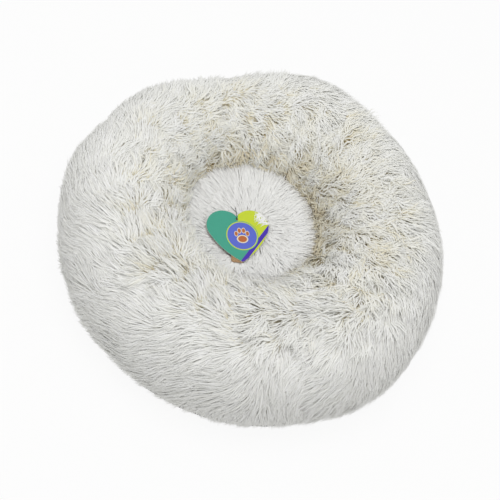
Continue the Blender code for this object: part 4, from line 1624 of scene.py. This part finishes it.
@dataclass
class Studio:
    """A pale floor, a soft white surround and the camera."""

    elevation: float = 58.0
    roll: float = 27.0
    distance: float = 1.6
    pixels_per_metre: float = 665.9
    frame_pixels: int = 500
    target: tuple[float, float, float] = (0.0, 0.0, 0.09)
    target_pixel: tuple[float, float] = (258.3, 229.6)
    key_power: float = 9.2
    key_width: float = 1.0
    key_place: tuple[float, float, float] = (-0.12, -0.14, 1.7)
    key_aim: tuple[float, float, float] = (0.0, 0.0, 0.1)
    surround: float = 0.575
    floor_width: float = 12.0
    # How much of the floor that the camera sees is plain white, which leaves a faint shadow
    floor_white: float = 0.92

    def build(self) -> None:
        """Build the studio."""
        self.camera()
        self.floor()
        self.light()
        bpy.context.scene.view_settings.view_transform = "Standard"

    def camera(self) -> None:
        """Place the camera at the photograph's angle."""
        lift, turn = math.radians(self.elevation), math.radians(self.roll)
        across = Vector((1, 0, 0))
        upright = Vector((0, math.sin(lift), math.cos(lift)))
        back = Vector((0, -math.cos(lift), math.sin(lift)))
        right = across * math.cos(turn) + upright * math.sin(turn)
        up = upright * math.cos(turn) - across * math.sin(turn)
        position = Vector(self.target) + back * self.distance
        half = self.frame_pixels / 2
        aim = Vector(self.target)
        aim += right * (half - self.target_pixel[0]) / self.pixels_per_metre
        aim -= up * (half - self.target_pixel[1]) / self.pixels_per_metre
        back = (position - aim).normalized()
        right = up.cross(back).normalized()
        up = back.cross(right)
        camera = bpy.data.cameras.new("camera")
        camera.lens = camera.sensor_width * self.pixels_per_metre * self.distance / self.frame_pixels
        camera.clip_end = 20.0
        item = bpy.data.objects.new("camera", camera)
        item.matrix_world = Matrix((
            (right.x, up.x, back.x, position.x),
            (right.y, up.y, back.y, position.y),
            (right.z, up.z, back.z, position.z),
            (0, 0, 0, 1),
        ))
        bpy.context.scene.collection.objects.link(item)
        bpy.context.scene.camera = item

    def floor(self) -> None:
        """Lay a pale floor that keeps a faint shadow."""
        half = self.floor_width / 2
        corners = [(-half, -half, 0), (half, -half, 0), (half, half, 0), (-half, half, 0)]
        floor = mesh_object("floor", corners, [(0, 1, 2, 3)])
        surface = Surface("pale_floor")
        add = surface.add
        path = add("LightPath", output="Is Camera Ray")
        other = add("Math:MAXIMUM", path, path.node.outputs["Is Glossy Ray"])
        share = add("Math:MULTIPLY", other, self.floor_white)
        white = add("Emission", linear("FFFFFF"), 1.0)
        mixed = add("MixShader", share, surface.shader.outputs[0], white)
        surface.fill(surface.tree.nodes["Material Output"], {"Surface": mixed})
        dress(floor, surface.finish({
            "Base Color": linear("F4F4F3"), "Roughness": 0.9, "Specular IOR Level": 0.0,
        }), smooth=False)

    def light(self) -> None:
        """Light the bed softly from above, in a white surround."""
        world = bpy.data.worlds.new("surround")
        world.use_nodes = True
        bpy.context.scene.world = world
        graph = Graph(world.node_tree)
        path = graph.add("LightPath", output="Is Camera Ray")
        strength = graph.add("MapRange", path, 0.0, 1.0, self.surround, 1.0)
        background = world.node_tree.nodes["Background"]
        graph.fill(background, {"Color": linear("FFFFFF"), "Strength": strength})
        lamp = bpy.data.lights.new("key", "AREA")
        lamp.energy = self.key_power
        lamp.shape = "DISK"
        lamp.size = self.key_width
        item = bpy.data.objects.new("key", lamp)
        item.location = self.key_place
        aim = Vector(self.key_aim) - item.location
        item.rotation_euler = aim.to_track_quat("-Z", "Y").to_euler()
        bpy.context.scene.collection.objects.link(item)


def main() -> None:
    """Build everything in order."""
    logging.basicConfig(level=logging.INFO, format="%(name)s: %(message)s")
    Studio().build()
    fur_tree = FurTree()
    tree = fur_tree.build()
    straight, wavy = fur_tree.strand(FurTree.STRAIGHT), fur_tree.strand(FurTree.WAVY)
    fur, backing = FurFinish().build(), BackingFinish().build()
    outer = Pile(straight, spacing=1.95 * MM, width=1.0 * MM)
    inner = Pile(wavy, spacing=2.05 * MM, width=1.05 * MM)
    top = Pile(straight, spacing=1.6 * MM, width=0.9 * MM)
    Bolster(FurCloth(tree, outer, inner, fur, Comb()), backing).build()
    Cushion(FurCloth(tree, top, inner, fur, Comb()), backing).build()
    for strand in (straight, wavy):
        bpy.data.objects.remove(strand, do_unlink=True)
    repeat = RepeatTree().build()
    Base(repeat).build()
    Zip(repeat).build()
    HangTag().build()


if __name__ == "__main__":
    main()
